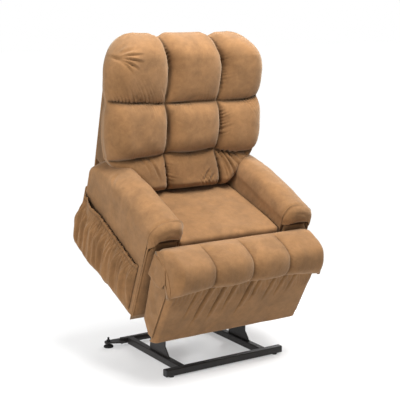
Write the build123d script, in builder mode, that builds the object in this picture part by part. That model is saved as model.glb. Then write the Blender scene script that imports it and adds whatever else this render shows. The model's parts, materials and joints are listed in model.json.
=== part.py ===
from build123d import *
import math
import os

os.makedirs("parts", exist_ok=True)

# Lift recliner chair, raised to its standing-assist position, facing -Y. Units are millimetres.
# The base is drawn where it stands. Everything the lift carries is drawn in the seated frame,
# where y = 0 is the foot of the front panel, and is then tilted up by one placement.

# ---- whole chair -----------------------------------------------------------------------------
tilt = 23.0
raised_front_y = -313.0
raised_front_z = 118.0
centre_shift = 115.94

# ---- upholstery ------------------------------------------------------------------------------
arm_inner = 270.0
arm_outer = 434.0
arm_front = 135.0
arm_back = 730.0
body_bottom = 114.0
seat_half = 266.0
seat_front = 140.0
pad_half = 400.0
panel_half = 388.0
panel_bottom = 57.0
panel_top = 328.0
panel_lean = 33.0
back_half = 400.0
back_low_half = 262.0
shell_half = 357.0
gap = 0.4

# ---- base ------------------------------------------------------------------------------------
tube = 32.0
wall = 2.0
bar_y = -321.0
bar_half = 313.0
bar_z = 22.0
rail_x = 222.0
rear_tube_y = 177.0
rear_tube_r = 16.0
foot_x = 328.0
foot_y = 189.0
plate_x = 222.0
plate_t = 5.0

# ---- lift linkage: two link pairs and one motor ------------------------------------------------
front_pivot = (-148.0, 120.0)
rear_pivot = (-60.0, 150.0)
chair_front_pivot = (380.0, 79.61)
chair_rear_pivot = (620.0, 115.21)
motor_pivot = (90.0, 75.0)
lever_length = 150.0
lever_lead = 100.0
pin_r = 6.0
running = 0.05
torque_r = 12.0

# ---- footrest linkage --------------------------------------------------------------------------
long_link_pivot = (280.0, 270.0)
long_link = 175.0
long_link_angle = -95.0
foot_pivot = (60.0, 330.0)
support_pivot = (336.0, 244.0)
support_tail = 40.0
link_t = 6.0

# ---- backrest ----------------------------------------------------------------------------------
back_pivot = (705.0, 435.0)
stile_x = 236.0

base_place = Location((0, centre_shift, 0))
chair_place = Location((0, raised_front_y + centre_shift, raised_front_z), (tilt, 0, 0))


def save(piece, name, place):
    placed = piece.part.moved(place)
    placed.label = name
    export_step(placed, "parts/" + name + ".step")


def save_pair(maker, name, place):
    """Write the sitter's right (-X) and left (+X) copy of a mirrored piece."""
    save(maker(-1), name + "_right", place)
    save(maker(1), name + "_left", place)


def save_group(pieces, name, place):
    """Write separate small pieces of one kind as one group."""
    with BuildPart() as group:
        for piece in pieces:
            add(piece.part)
    save(group, name, place)


def save_both(maker, name, place):
    """Write both mirrored copies of a small piece as one group of two solids."""
    save_group([maker(-1), maker(1)], name, place)


def on_chair(y, z):
    """A seated point of the chair, in the raised chair."""
    turn = math.radians(tilt)
    up_y = y * math.cos(turn) - z * math.sin(turn) + raised_front_y
    up_z = y * math.sin(turn) + z * math.cos(turn) + raised_front_z
    return (up_y, up_z)


def polar(start, length, degrees):
    angle = math.radians(degrees)
    return (start[0] + length * math.cos(angle), start[1] + length * math.sin(angle))


def spread(start, end):
    return math.hypot(end[0] - start[0], end[1] - start[1])


def heading(start, end):
    return math.degrees(math.atan2(end[1] - start[1], end[0] - start[0]))


def between(start, end, share):
    return (start[0] + (end[0] - start[0]) * share, start[1] + (end[1] - start[1]) * share)


def slab(outline, x_near, x_far, side=1):
    """A flat piece whose side outline is given in (y, z), standing between two distances from x = 0."""
    with BuildPart() as piece:
        with BuildSketch(Plane.YZ.offset(min(side * x_near, side * x_far))):
            with BuildLine():
                Polyline(*outline, close=True)
            make_face()
        extrude(amount=abs(x_far - x_near))
    return piece


def link(start, end, half_width, x_near, x_far, side, start_hole, end_hole, end_half=None):
    """A flat link with rounded ends and a hole at each pivot."""
    with BuildPart() as piece:
        with BuildSketch(Plane.YZ.offset(min(side * x_near, side * x_far))):
            with BuildLine():
                Polyline(*bar_outline(start, end, half_width), close=True)
            make_face()
            with Locations(start):
                Circle(half_width + 3)
            with Locations(end):
                Circle(end_half or half_width + 3)
            with Locations(start):
                Circle(start_hole, mode=Mode.SUBTRACT)
            with Locations(end):
                Circle(end_hole, mode=Mode.SUBTRACT)
        extrude(amount=abs(x_far - x_near))
    return piece


def bar_outline(start, end, half_width):
    angle = math.radians(heading(start, end) + 90)
    dy = half_width * math.cos(angle)
    dz = half_width * math.sin(angle)
    return [
        (start[0] + dy, start[1] + dz),
        (end[0] + dy, end[1] + dz),
        (end[0] - dy, end[1] - dz),
        (start[0] - dy, start[1] - dz),
    ]


def cross_rods(places, radius, x_near, x_far, bore=0.0, both_sides=True, head=0.0):
    """Round rods along X at each (y, z): one on each side of the chair, or one right across."""
    with BuildPart() as piece:
        for side in ((-1, 1) if both_sides else (1,)):
            with BuildSketch(Plane.YZ.offset(min(side * x_near, side * x_far))):
                with Locations(*places):
                    Circle(radius)
                    if bore > 0:
                        Circle(bore, mode=Mode.SUBTRACT)
            extrude(amount=abs(x_far - x_near))
            if head > 0:
                with BuildSketch(Plane.YZ.offset(side * x_far if side > 0 else side * (x_far + head))):
                    with Locations(*places):
                        Circle(radius + 3)
                extrude(amount=head)
    return piece


# =============================================================================================
# Base
# =============================================================================================
with BuildPart() as base_front_bar:
    with BuildSketch(Plane.YZ.offset(-bar_half)):
        with Locations((bar_y, bar_z)):
            RectangleRounded(tube, tube, 5)
            RectangleRounded(tube - 2 * wall, tube - 2 * wall, 3, mode=Mode.SUBTRACT)
    extrude(amount=2 * bar_half)
save(base_front_bar, "base_front_bar", base_place)

with BuildPart() as bar_end_caps:
    for side in (-1, 1):
        face_x = side * bar_half if side > 0 else side * (bar_half + 4)
        with BuildSketch(Plane.YZ.offset(face_x)):
            with Locations((bar_y, bar_z)):
                RectangleRounded(tube, tube, 5)
        extrude(amount=4)
        plug_x = side * (bar_half - 15) if side > 0 else side * bar_half
        with BuildSketch(Plane.YZ.offset(plug_x)):
            with Locations((bar_y, bar_z)):
                RectangleRounded(tube - 2 * wall - gap, tube - 2 * wall - gap, 3)
        extrude(amount=15)
    outer_rims = bar_end_caps.edges().filter_by_position(Axis.X, -bar_half - 4, -bar_half - 3.9)
    outer_rims += bar_end_caps.edges().filter_by_position(Axis.X, bar_half + 3.9, bar_half + 4)
    fillet(outer_rims, 2.5)
save(bar_end_caps, "bar_end_caps", base_place)

rail_front = bar_y + tube / 2
rail_back = rear_tube_y - rear_tube_r


def side_rail(side):
    with BuildPart() as piece:
        with BuildSketch(Plane.XZ.offset(-rail_front)):
            with Locations((side * rail_x, bar_z)):
                RectangleRounded(tube, tube, 5)
                RectangleRounded(tube - 2 * wall, tube - 2 * wall, 3, mode=Mode.SUBTRACT)
        extrude(amount=-(rail_back - rail_front))
    return piece


save_both(side_rail, "base_side_rails", base_place)

rear_tube_z = rear_tube_r + 8
base_rear_tube = cross_rods([(rear_tube_y, rear_tube_z)], rear_tube_r, -262, 262, rear_tube_r - wall, False)
save(base_rear_tube, "base_rear_tube", base_place)

bracket_t = 8.0
bracket_bottom = rear_tube_z - bracket_t / 2
flange_x = 262.0
flange_t = 4.0


def foot_bracket(side):
    """A flange on the rear tube's end, and a plate that tapers outwards to the levelling foot."""
    near = side * flange_x
    plate_start = side * (flange_x + flange_t)
    with BuildPart() as piece:
        with BuildSketch(Plane.YZ.offset(min(near, plate_start))):
            with Locations((rear_tube_y, rear_tube_z)):
                Circle(rear_tube_r + 1)
        extrude(amount=flange_t)
        with BuildSketch(Plane.XY.offset(bracket_bottom)):
            with BuildLine():
                Polyline(
                    (near, rear_tube_y - 34),
                    (plate_start, rear_tube_y - 34),
                    (side * (foot_x - 6), foot_y - 18),
                    (side * (foot_x - 6), foot_y + 18),
                    (plate_start, foot_y + 16),
                    (near, foot_y + 16),
                    close=True,
                )
            make_face()
            with Locations((side * foot_x, foot_y)):
                Circle(19)
                Circle(5.2, mode=Mode.SUBTRACT)
        extrude(amount=bracket_t)
    return piece


save_both(foot_bracket, "foot_brackets", base_place)


foot_centres = [(-foot_x, foot_y), (foot_x, foot_y)]
glide_centres = [(-bar_half + 30, bar_y), (bar_half - 30, bar_y)]

with BuildPart() as levelling_feet:
    with BuildSketch(Plane.XY):
        with Locations(*foot_centres):
            Circle(23)
    extrude(amount=9)
    fillet(levelling_feet.edges().filter_by(GeomType.CIRCLE).group_by(Axis.Z)[-1], 4)
    with BuildSketch(Plane.XY.offset(8)):
        with Locations(*foot_centres):
            Circle(5)
    extrude(amount=40)

with BuildPart() as foot_nuts:
    with BuildSketch(Plane.XY.offset(bracket_bottom + bracket_t)):
        with Locations(*foot_centres):
            RegularPolygon(10, 6)
            Circle(5.05, mode=Mode.SUBTRACT)
    extrude(amount=8)
save_group([levelling_feet, foot_nuts], "levelling_feet", base_place)

with BuildPart() as front_glides:
    with BuildSketch(Plane.XY):
        with Locations(*glide_centres):
            Circle(12)
    extrude(amount=bar_z - tube / 2)
save(front_glides, "front_glides", base_place)

plate_near = plate_x - plate_t / 2
plate_far = plate_x + plate_t / 2
rail_top = bar_z + tube / 2


def lift_plate(side):
    """The upright plate on each side rail that carries both lift links."""
    with BuildPart() as piece:
        with BuildSketch(Plane.YZ.offset(min(side * plate_near, side * plate_far))):
            with BuildLine():
                Polyline(
                    (front_pivot[0] - 57, rail_top),
                    (front_pivot[0] - 18, front_pivot[1] - 36),
                    (front_pivot[0] - 20, front_pivot[1] + 8),
                    (front_pivot[0] + 6, front_pivot[1] + 22),
                    (rear_pivot[0] + 2, rear_pivot[1] + 20),
                    (rear_pivot[0] + 20, rear_pivot[1]),
                    (rear_pivot[0] + 30, rail_top),
                    close=True,
                )
            make_face()
            with Locations(front_pivot):
                Circle(torque_r + running, mode=Mode.SUBTRACT)
            with Locations(rear_pivot):
                Circle(pin_r, mode=Mode.SUBTRACT)
        extrude(amount=plate_t)
    return piece


save_both(lift_plate, "lift_plates", base_place)

link_gap = 3.5
front_link_near = plate_far + link_gap
front_link_far = front_link_near + link_t
rear_link_far = plate_near - link_gap
rear_link_near = rear_link_far - link_t



ear_near = 24.0
ear_t = 5.0
saddle_top = rear_tube_z + rear_tube_r + 5

with BuildPart() as motor_bracket:
    for side in (-1, 1):
        with BuildSketch(Plane.YZ.offset(min(side * ear_near, side * (ear_near + ear_t)))):
            with BuildLine():
                Polyline(
                    (rear_tube_y - 15, rear_tube_z + rear_tube_r),
                    (rear_tube_y + 15, rear_tube_z + rear_tube_r),
                    (rear_tube_y + 15, saddle_top + 5),
                    (motor_pivot[0] + 8, motor_pivot[1] + 16),
                    (motor_pivot[0] - 14, motor_pivot[1] + 10),
                    (motor_pivot[0] - 14, motor_pivot[1] - 8),
                    (motor_pivot[0] + 10, motor_pivot[1] - 17),
                    close=True,
                )
            make_face()
            with Locations(motor_pivot):
                Circle(pin_r, mode=Mode.SUBTRACT)
        extrude(amount=ear_t)
    with BuildSketch(Plane.XY.offset(rear_tube_z + rear_tube_r)):
        with Locations((0, rear_tube_y)):
            Rectangle(2 * ear_near + 20, 30)
    extrude(amount=5)
save(motor_bracket, "motor_bracket", base_place)

rear_link_pins = cross_rods([rear_pivot], pin_r, rear_link_near - 2, plate_far, head=3)
motor_base_pin = cross_rods([motor_pivot], pin_r, -32, 32, both_sides=False)
save_group([rear_link_pins, motor_base_pin], "base_pivot_pins", base_place)

# =============================================================================================
# Front lift links: both links, the torque tube they turn on and the lever the motor pushes
# =============================================================================================
front_top = on_chair(*chair_front_pivot)
rear_top = on_chair(*chair_rear_pivot)
front_angle = heading(front_pivot, front_top)
lever_end = polar(front_pivot, lever_length, front_angle + lever_lead)

save_both(
    lambda side: link(
        front_pivot, front_top, 13, front_link_near, front_link_far, side, torque_r, pin_r + running
    ),
    "front_lift_links",
    base_place,
)
lift_torque_tube = cross_rods([front_pivot], torque_r, -front_link_far, front_link_far, torque_r - 2.5, False)
save(lift_torque_tube, "lift_torque_tube", base_place)


def lever_plate(side):
    return link(front_pivot, lever_end, 14, 13, 19, side, torque_r, pin_r - 1)


lever_pin = cross_rods([lever_end], pin_r - 1, -22, 22, both_sides=False)
save_group([lever_plate(-1), lever_plate(1), lever_pin], "lift_lever", base_place)

# =============================================================================================
# Rear lift links
# =============================================================================================
rear_cross = between(rear_pivot, rear_top, 0.6)
loose = 0.9
save_both(
    lambda side: link(
        rear_pivot, rear_top, 12, rear_link_near, rear_link_far, side, pin_r + running, pin_r + loose
    ),
    "rear_lift_links",
    base_place,
)
rear_link_tube = cross_rods([rear_cross], 10, -rear_link_near, rear_link_near, 8, False)
save(rear_link_tube, "rear_link_tube", base_place)

# =============================================================================================
# Lift motor: the housing turns on the base, the rod on the lever, and the rod slides in the housing
# =============================================================================================
motor_aim = heading(motor_pivot, lever_end)
motor_reach = spread(motor_pivot, lever_end)
motor_back = Plane(origin=(0, motor_pivot[0], motor_pivot[1]), x_dir=(1, 0, 0), z_dir=(
    0, math.cos(math.radians(motor_aim)), math.sin(math.radians(motor_aim))
))
rod_r = 9.0
tube_bore = rod_r + 4.5
housing_length = 205.0
gearbox_start = 21.0
gearbox_end = 66.0

with BuildPart() as motor_gearbox:
    with BuildSketch(motor_back.offset(gearbox_start)):
        with Locations((14, 0)):
            RectangleRounded(76, 46, 10)
    extrude(amount=gearbox_end - gearbox_start)
    with BuildSketch(Plane.YZ.offset(-20)):
        with Locations(motor_pivot):
            Circle(13)
        with BuildLine():
            Polyline(*bar_outline(motor_pivot, polar(motor_pivot, gearbox_start + 2, motor_aim), 13), close=True)
        make_face()
        with Locations(motor_pivot):
            Circle(pin_r + running, mode=Mode.SUBTRACT)
    extrude(amount=40)
save(motor_gearbox, "motor_gearbox", base_place)

with BuildPart() as motor_tube:
    with BuildSketch(motor_back.offset(gearbox_end)):
        Circle(tube_bore + 3.5)
        Circle(tube_bore, mode=Mode.SUBTRACT)
    extrude(amount=housing_length - gearbox_end)
save(motor_tube, "motor_tube", base_place)

with BuildPart() as motor_can:
    with BuildSketch(motor_back.offset(gearbox_end)):
        with Locations((42, 0)):
            Circle(23)
    extrude(amount=100)
    fillet(motor_can.edges().filter_by(GeomType.CIRCLE), 3)
save(motor_can, "motor_can", base_place)

rod_length = 235.0
with BuildPart() as motor_rod:
    with BuildSketch(motor_back.offset(motor_reach - rod_length)):
        Circle(rod_r)
    extrude(amount=rod_length - 10)
    with BuildSketch(Plane.YZ.offset(-9)):
        with Locations(lever_end):
            Circle(14)
            Circle(pin_r - 1 + running, mode=Mode.SUBTRACT)
    extrude(amount=18)
    with BuildSketch(Plane.YZ.offset(-10)):
        with Locations(lever_end):
            Circle(pin_r - 1 + running)
    extrude(amount=20, mode=Mode.SUBTRACT)
save(motor_rod, "motor_rod", base_place)

# =============================================================================================
# Lift frame under the seat
# =============================================================================================
frame_near = 245.0
frame_far = 250.0
seat_rail_bottom = 298.0
seat_rail_top = 340.0


def lift_frame_plate(side):
    """The steel side plate that hangs from the seat frame and takes both lift links."""
    with BuildPart() as piece:
        with BuildSketch(Plane.YZ.offset(min(side * frame_near, side * frame_far))):
            with BuildLine():
                Polyline(
                    (chair_front_pivot[0] - 28, chair_front_pivot[1] + 16),
                    (chair_front_pivot[0] - 22, chair_front_pivot[1] - 18),
                    (chair_front_pivot[0] + 20, chair_front_pivot[1] - 20),
                    (chair_rear_pivot[0] + 30, chair_rear_pivot[1] - 20),
                    (chair_rear_pivot[0] + 32, chair_rear_pivot[1] + 30),
                    (chair_rear_pivot[0] + 30, seat_rail_top),
                    (chair_rear_pivot[0] - 25, seat_rail_top),
                    (chair_rear_pivot[0] - 30, chair_rear_pivot[1] + 40),
                    (chair_front_pivot[0] + 95, chair_front_pivot[1] + 55),
                    (chair_front_pivot[0] + 92, seat_rail_top),
                    (chair_front_pivot[0] + 38, seat_rail_top),
                    (chair_front_pivot[0] + 34, chair_front_pivot[1] + 50),
                    close=True,
                )
            make_face()
            with Locations(chair_front_pivot, chair_rear_pivot):
                Circle(pin_r, mode=Mode.SUBTRACT)
        extrude(amount=frame_far - frame_near)
    return piece


save_both(lift_frame_plate, "lift_frame_plates", chair_place)
front_chair_pins = cross_rods([chair_front_pivot], pin_r, front_link_near - 2, frame_far, head=4)
rear_chair_pins = cross_rods([chair_rear_pivot], pin_r, rear_link_near - 2, frame_far, head=4)
frame_tubes = cross_rods(
    [(chair_front_pivot[0] + 62, 205), (chair_rear_pivot[0] + 5, 255)], 12, -frame_near, frame_near, 10, False
)
save(frame_tubes, "frame_cross_tubes", chair_place)

# =============================================================================================
# Seat frame, springs and cushion
# =============================================================================================
front_rail_y = 146.0
rail_wood = 22.0
rear_rail_y = 655.0
side_rail_near = 205.0
frame_half = 262.0


def cross_rail(y_start):
    with BuildPart() as piece:
        with BuildSketch(Plane.XY.offset(seat_rail_bottom)):
            with Locations((0, y_start + rail_wood / 2)):
                Rectangle(2 * frame_half, rail_wood)
        extrude(amount=seat_rail_top - seat_rail_bottom)
    return piece


save(cross_rail(front_rail_y), "seat_front_rail", chair_place)
save(cross_rail(rear_rail_y), "seat_rear_rail", chair_place)
side_box = [
    (front_rail_y + rail_wood, seat_rail_bottom),
    (rear_rail_y, seat_rail_bottom),
    (rear_rail_y, seat_rail_top),
    (front_rail_y + rail_wood, seat_rail_top),
]
save_both(lambda side: slab(side_box, side_rail_near, frame_near, side), "seat_side_rails", chair_place)

spring_r = 2.0
spring_steps = 16
spring_half = 17.0
spring_start = front_rail_y + 6
spring_end = rear_rail_y + rail_wood - 6
spring_z = seat_rail_top + spring_r


def spring_path(x_centre):
    pitch = (spring_end - spring_start) / spring_steps
    points = [(x_centre, spring_start, spring_z)]
    for step in range(spring_steps):
        swing = spring_half if step % 2 == 0 else -spring_half
        points.append((x_centre + swing, spring_start + pitch * (step + 0.5), spring_z))
    points.append((x_centre, spring_end, spring_z))
    return points


with BuildPart() as seat_springs:
    for x_centre in (-160, -80, 0, 80, 160):
        with BuildLine() as wire_path:
            Spline(*spring_path(x_centre))
        with BuildSketch(Plane(origin=wire_path.line @ 0, z_dir=wire_path.line % 0)):
            Circle(spring_r)
        sweep(path=wire_path.line)
save(seat_springs, "seat_springs", chair_place)

cushion_bottom = spring_z + spring_r + gap
seat_front_top = 484.0
seat_back_top = 452.0
seat_back_y = 650.0

with BuildPart() as seat_cushion:
    with BuildSketch(Plane.YZ.offset(-seat_half)):
        with BuildLine():
            Polyline(
                (seat_front, cushion_bottom),
                (seat_front, seat_front_top - 4),
                (seat_front + 60, seat_front_top),
                (585, seat_back_top),
                (620, 425),
                (seat_back_y, 420),
                (seat_back_y, cushion_bottom),
                close=True,
            )
        make_face()
    extrude(amount=2 * seat_half)
    fillet(seat_cushion.edges().filter_by(Axis.X).group_by(Axis.Y)[0].sort_by(Axis.Z)[-1:], 22)
    fillet(seat_cushion.edges().filter_by(Axis.X).group_by(Axis.Y)[0].sort_by(Axis.Z)[:1], 10)
save(seat_cushion, "seat_cushion", chair_place)

# =============================================================================================
# Arms
# =============================================================================================
arm_body_near = arm_inner + 2
arm_body_far = arm_outer - 4
arm_body_top = 540.0
post_t = 9.0


def arm_body(side):
    """The padded box that makes each side of the chair."""
    with BuildPart() as piece:
        with BuildSketch(Plane.YZ.offset(min(side * arm_body_near, side * arm_body_far))):
            with BuildLine():
                Polyline(
                    (arm_front + post_t + gap, body_bottom),
                    (arm_back, body_bottom),
                    (arm_back, arm_body_top - 14),
                    (arm_front + post_t + gap, arm_body_top),
                    close=True,
                )
            make_face()
        extrude(amount=arm_body_far - arm_body_near)
        fillet(piece.edges().filter_by(Axis.Z), 8)
    return piece


def arm_pad(side):
    """The pillow roll that lies along the top of the arm and turns over its front end."""
    low = arm_body_top + gap
    with BuildPart() as piece:
        with BuildSketch(Plane.YZ.offset(min(side * (arm_inner - 2), side * arm_outer))):
            with BuildLine():
                Polyline(
                    (arm_front - 2, low - 46),
                    (arm_front - 2, 568),
                    (arm_front + 22, 594),
                    (300, 606),
                    (450, 610),
                    (590, 600),
                    (arm_back - 40, 584),
                    (arm_back, 560),
                    (arm_back, low - 13.5),
                    (arm_front + post_t + 0.1, low),
                    (arm_front + post_t + 0.1, low - 46),
                    close=True,
                )
            make_face()
        extrude(amount=arm_outer - arm_inner + 2)
        middle = side * (arm_inner + arm_outer - 2) / 2
        upper = piece.edges().filter_by(lambda e: e.center().Z > 566 and e.length > 20)
        fillet(upper.filter_by(lambda e: abs(e.center().X - middle) > 60), 24)
    return piece


def arm_front_panel(side):
    """The flat upholstered panel on the front end of the arm."""
    with BuildPart() as piece:
        with BuildSketch(Plane.XZ.offset(-arm_front - post_t)):
            with BuildLine():
                Polyline(
                    (side * (arm_body_near + 2), body_bottom),
                    (side * (arm_body_far - 2), body_bottom),
                    (side * (arm_body_far - 2), arm_body_top - 46.5),
                    (side * (arm_body_near + 2), arm_body_top - 46.5),
                    close=True,
                )
            make_face()
        extrude(amount=post_t)
        fillet(piece.edges().filter_by(Axis.Z), 3)
    return piece


save_pair(arm_body, "arm_body", chair_place)
save_pair(arm_pad, "arm_pad", chair_place)
save_both(arm_front_panel, "arm_front_panels", chair_place)

# ---- side pouches: the fabric wall stands off the arm, closed at the ends and the bottom --------
pouch_start = 165.0
pouch_end = arm_back - 6
pouch_bottom = body_bottom + 6
pouch_front_top = 366.0
pouch_back_top = 400.0
pouch_depth = 44.0
cloth = 3.0


def side_pouch(side):
    near = arm_body_far + gap
    far = arm_body_far + pouch_depth
    slope = (pouch_back_top - pouch_front_top) / (pouch_end - pouch_start)
    with BuildPart() as piece:
        with BuildSketch(Plane.YZ.offset(min(side * near, side * far))):
            with BuildLine():
                Polyline(
                    (pouch_start, pouch_bottom),
                    (pouch_end, pouch_bottom),
                    (pouch_end, pouch_back_top),
                    (pouch_start, pouch_front_top),
                    close=True,
                )
            make_face()
        extrude(amount=far - near)
        outer = piece.edges().filter_by(lambda e: abs(abs(e.center().X) - far) < 0.01)
        fillet(outer.filter_by(lambda e: abs(e.center().Y - (pouch_start + pouch_end) / 2) > 200
                               or e.center().Z < pouch_bottom + 1), 6)
        with BuildSketch(Plane.YZ.offset(min(side * near, side * (far - cloth)))):
            with BuildLine():
                Polyline(
                    (pouch_start + cloth, pouch_bottom + cloth),
                    (pouch_end - cloth, pouch_bottom + cloth),
                    (pouch_end - cloth, pouch_back_top + 20),
                    (pouch_start + cloth, pouch_front_top + 20 - slope * cloth),
                    close=True,
                )
            make_face()
        extrude(amount=far - cloth - near, mode=Mode.SUBTRACT)
    return piece


save_pair(side_pouch, "side_pouch", chair_place)

# ---- hand control, kept in the pouch on the sitter's right ---------------------------------------
control_x = -(arm_body_far + 5)
control_t = 20.0
control_y = 610.0
control_low = 215.0
control_high = 365.0
button_places = [(control_y, control_high - 38), (control_y, control_high - 72)]
button_r = 9.0

with BuildPart() as hand_control:
    with BuildSketch(Plane.YZ.offset(control_x - control_t)):
        with Locations((control_y, (control_low + control_high) / 2)):
            RectangleRounded(52, control_high - control_low, 18)
    extrude(amount=control_t)
    fillet(hand_control.edges().group_by(Axis.X)[0], 3)
    with BuildSketch(Plane.YZ.offset(control_x - control_t)):
        with Locations(*button_places):
            Circle(button_r + 0.3)
    extrude(amount=8, mode=Mode.SUBTRACT)
save(hand_control, "hand_control", chair_place)


def control_button(place):
    with BuildPart() as piece:
        with BuildSketch(Plane.YZ.offset(control_x - control_t - 2.2)):
            with Locations(place):
                Circle(button_r)
        extrude(amount=8)
        fillet(piece.edges().group_by(Axis.X)[0], 1)
    return piece


save(control_button(button_places[0]), "raise_button", chair_place)
save(control_button(button_places[1]), "lower_button", chair_place)

# ---- lower back panel with the power supply and its inlet ----------------------------------------
panel_y = arm_back + gap
panel_t = 8.0
inlet_half = 25.0
inlet_z = 205.0

with BuildPart() as lower_back_panel:
    with BuildSketch(Plane.XZ.offset(-panel_y - panel_t)):
        with Locations((0, (body_bottom + 425) / 2)):
            Rectangle(2 * (arm_body_far - 2), 425 - body_bottom)
        with Locations((0, inlet_z)):
            Rectangle(2 * inlet_half, 30, mode=Mode.SUBTRACT)
    extrude(amount=panel_t)
save(lower_back_panel, "lower_back_panel", chair_place)

with BuildPart() as power_supply:
    with BuildSketch(Plane.XZ.offset(-panel_y)):
        with Locations((0, inlet_z)):
            RectangleRounded(150, 74, 8)
    extrude(amount=62)
    with BuildSketch(Plane.XZ.offset(-panel_y)):
        with Locations((0, inlet_z)):
            Rectangle(2 * inlet_half - 4, 26)
    extrude(amount=22, mode=Mode.SUBTRACT)
save(power_supply, "power_supply", chair_place)

with BuildPart() as mains_inlet:
    with BuildSketch(Plane.XZ.offset(-panel_y - panel_t)):
        with Locations((0, inlet_z)):
            RectangleRounded(2 * inlet_half - 5, 25, 3)
            RectangleRounded(30, 17, 3, mode=Mode.SUBTRACT)
    extrude(amount=panel_t + 21)
    with BuildSketch(Plane.XZ.offset(-panel_y + 16)):
        with Locations((0, inlet_z)):
            Rectangle(34, 20)
    extrude(amount=5)
    with BuildSketch(Plane.XZ.offset(-panel_y + 2)):
        with Locations((-7, inlet_z - 2), (0, inlet_z + 3), (7, inlet_z - 2)):
            Rectangle(2, 5)
    extrude(amount=16)
save(mains_inlet, "mains_inlet", chair_place)

# =============================================================================================
# Footrest
# =============================================================================================
long_near = 190.0
long_far = long_near + link_t
hanger_near = long_far + 3
front_near = long_near - 2 - link_t
foot_bracket_near = front_near - 2 - link_t
foot_pin_r = 5.0
tail_pin_r = 4.0
tail_loose = 4.3
long_end = polar(long_link_pivot, long_link, long_link_angle)
front_dir = heading(foot_pivot, long_end)
front_length = spread(foot_pivot, long_end)
tail_end = polar(foot_pivot, front_length + support_tail, front_dir)
# The front link is cranked here so that it stays clear of the pad and its shelf.
front_knee = (33.0, 253.0)


def footrest_hanger(side):
    """The plate that hangs inside the seat's side rail and holds the footrest links."""
    with BuildPart() as piece:
        with BuildSketch(Plane.YZ.offset(min(side * hanger_near, side * side_rail_near))):
            with BuildLine():
                Polyline(
                    (long_link_pivot[0] - 22, seat_rail_top - 4),
                    (long_link_pivot[0] - 16, long_link_pivot[1] - 12),
                    (long_link_pivot[0] - 6, long_link_pivot[1] - 16),
                    (support_pivot[0], support_pivot[1] - 16),
                    (support_pivot[0] + 15, support_pivot[1] - 4),
                    (support_pivot[0] + 26, seat_rail_top - 4),
                    close=True,
                )
            make_face()
            with Locations(long_link_pivot, support_pivot):
                Circle(foot_pin_r, mode=Mode.SUBTRACT)
        extrude(amount=side_rail_near - hanger_near)
    return piece


save_both(footrest_hanger, "footrest_hangers", chair_place)
hanger_pins = cross_rods([long_link_pivot, support_pivot], foot_pin_r, long_near - 1, side_rail_near, head=0)

save_both(
    lambda side: link(
        long_link_pivot, long_end, 10, long_near, long_far, side, foot_pin_r + running, foot_pin_r, 11
    ),
    "footrest_long_links",
    chair_place,
)
with BuildPart() as footrest_torque_tube:
    tube_place = polar(long_link_pivot, 30, long_link_angle)
    with BuildSketch(Plane.YZ.offset(-long_near)):
        with Locations(tube_place):
            Circle(9)
            Circle(7, mode=Mode.SUBTRACT)
    extrude(amount=2 * long_near)
save(footrest_torque_tube, "footrest_torque_tube", chair_place)
long_link_pins = cross_rods([long_end], foot_pin_r, front_near - 1, long_far, head=0)
save(long_link_pins, "footrest_long_link_pins", chair_place)


def footrest_front_link(side):
    """The cranked link that carries the footrest; its tail beyond the joint takes the support link."""
    with BuildPart() as piece:
        with BuildSketch(Plane.YZ.offset(min(side * front_near, side * (front_near + link_t)))):
            with BuildLine():
                Polyline(*bar_outline(foot_pivot, front_knee, 10), close=True)
            make_face()
            with BuildLine():
                Polyline(*bar_outline(front_knee, long_end, 10), close=True)
            make_face()
            with BuildLine():
                Polyline(*bar_outline(long_end, tail_end, 10), close=True)
            make_face()
            with Locations(foot_pivot):
                Circle(12)
            with Locations(front_knee, long_end, tail_end):
                Circle(10)
            with Locations(foot_pivot, tail_end):
                Circle(tail_pin_r, mode=Mode.SUBTRACT)
            with Locations(long_end):
                Circle(foot_pin_r + running, mode=Mode.SUBTRACT)
        extrude(amount=link_t)
    return piece


save_both(footrest_front_link, "footrest_front_links", chair_place)
with BuildPart() as front_link_pins:
    for side in (-1, 1):
        with BuildSketch(Plane.YZ.offset(min(side * (foot_bracket_near - 1), side * (front_near + link_t)))):
            with Locations(foot_pivot):
                Circle(tail_pin_r)
        extrude(amount=front_near + link_t - foot_bracket_near + 1)
        with BuildSketch(Plane.YZ.offset(min(side * front_near, side * (long_far + 1)))):
            with Locations(tail_end):
                Circle(tail_pin_r)
        extrude(amount=long_far + 1 - front_near)
save(front_link_pins, "footrest_front_link_pins", chair_place)

save_both(
    lambda side: link(
        support_pivot, tail_end, 8, long_near, long_far, side, foot_pin_r + running, tail_pin_r + tail_loose, 13
    ),
    "footrest_support_links",
    chair_place,
)

# ---- the footrest itself -------------------------------------------------------------------------
lean = panel_lean / (panel_top - panel_bottom)
cover_t = 12.0
board_t = 13.0
shelf_bottom = 371.0
shelf_t = 13.0
footrest_back = 124.0


def front_line(z, inwards=0.0):
    """The y of the leaning front panel's face at a height, or of a layer behind it."""
    return -lean * (z - panel_bottom) + inwards


board_low = panel_bottom + 18
footrest_board = slab(
    [
        (front_line(board_low, cover_t + gap), board_low),
        (front_line(board_low, cover_t + board_t), board_low),
        (front_line(shelf_bottom, cover_t + board_t), shelf_bottom),
        (front_line(shelf_bottom, cover_t + gap), shelf_bottom),
    ],
    -368,
    368,
)
save(footrest_board, "footrest_board", chair_place)

shelf_front = front_line(shelf_bottom, cover_t + gap)
footrest_shelf = slab(
    [
        (shelf_front, shelf_bottom),
        (footrest_back - 8, shelf_bottom),
        (footrest_back - 8, shelf_bottom + shelf_t),
        (shelf_front, shelf_bottom + shelf_t),
    ],
    -386,
    386,
)
save(footrest_shelf, "footrest_shelf", chair_place)


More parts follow.
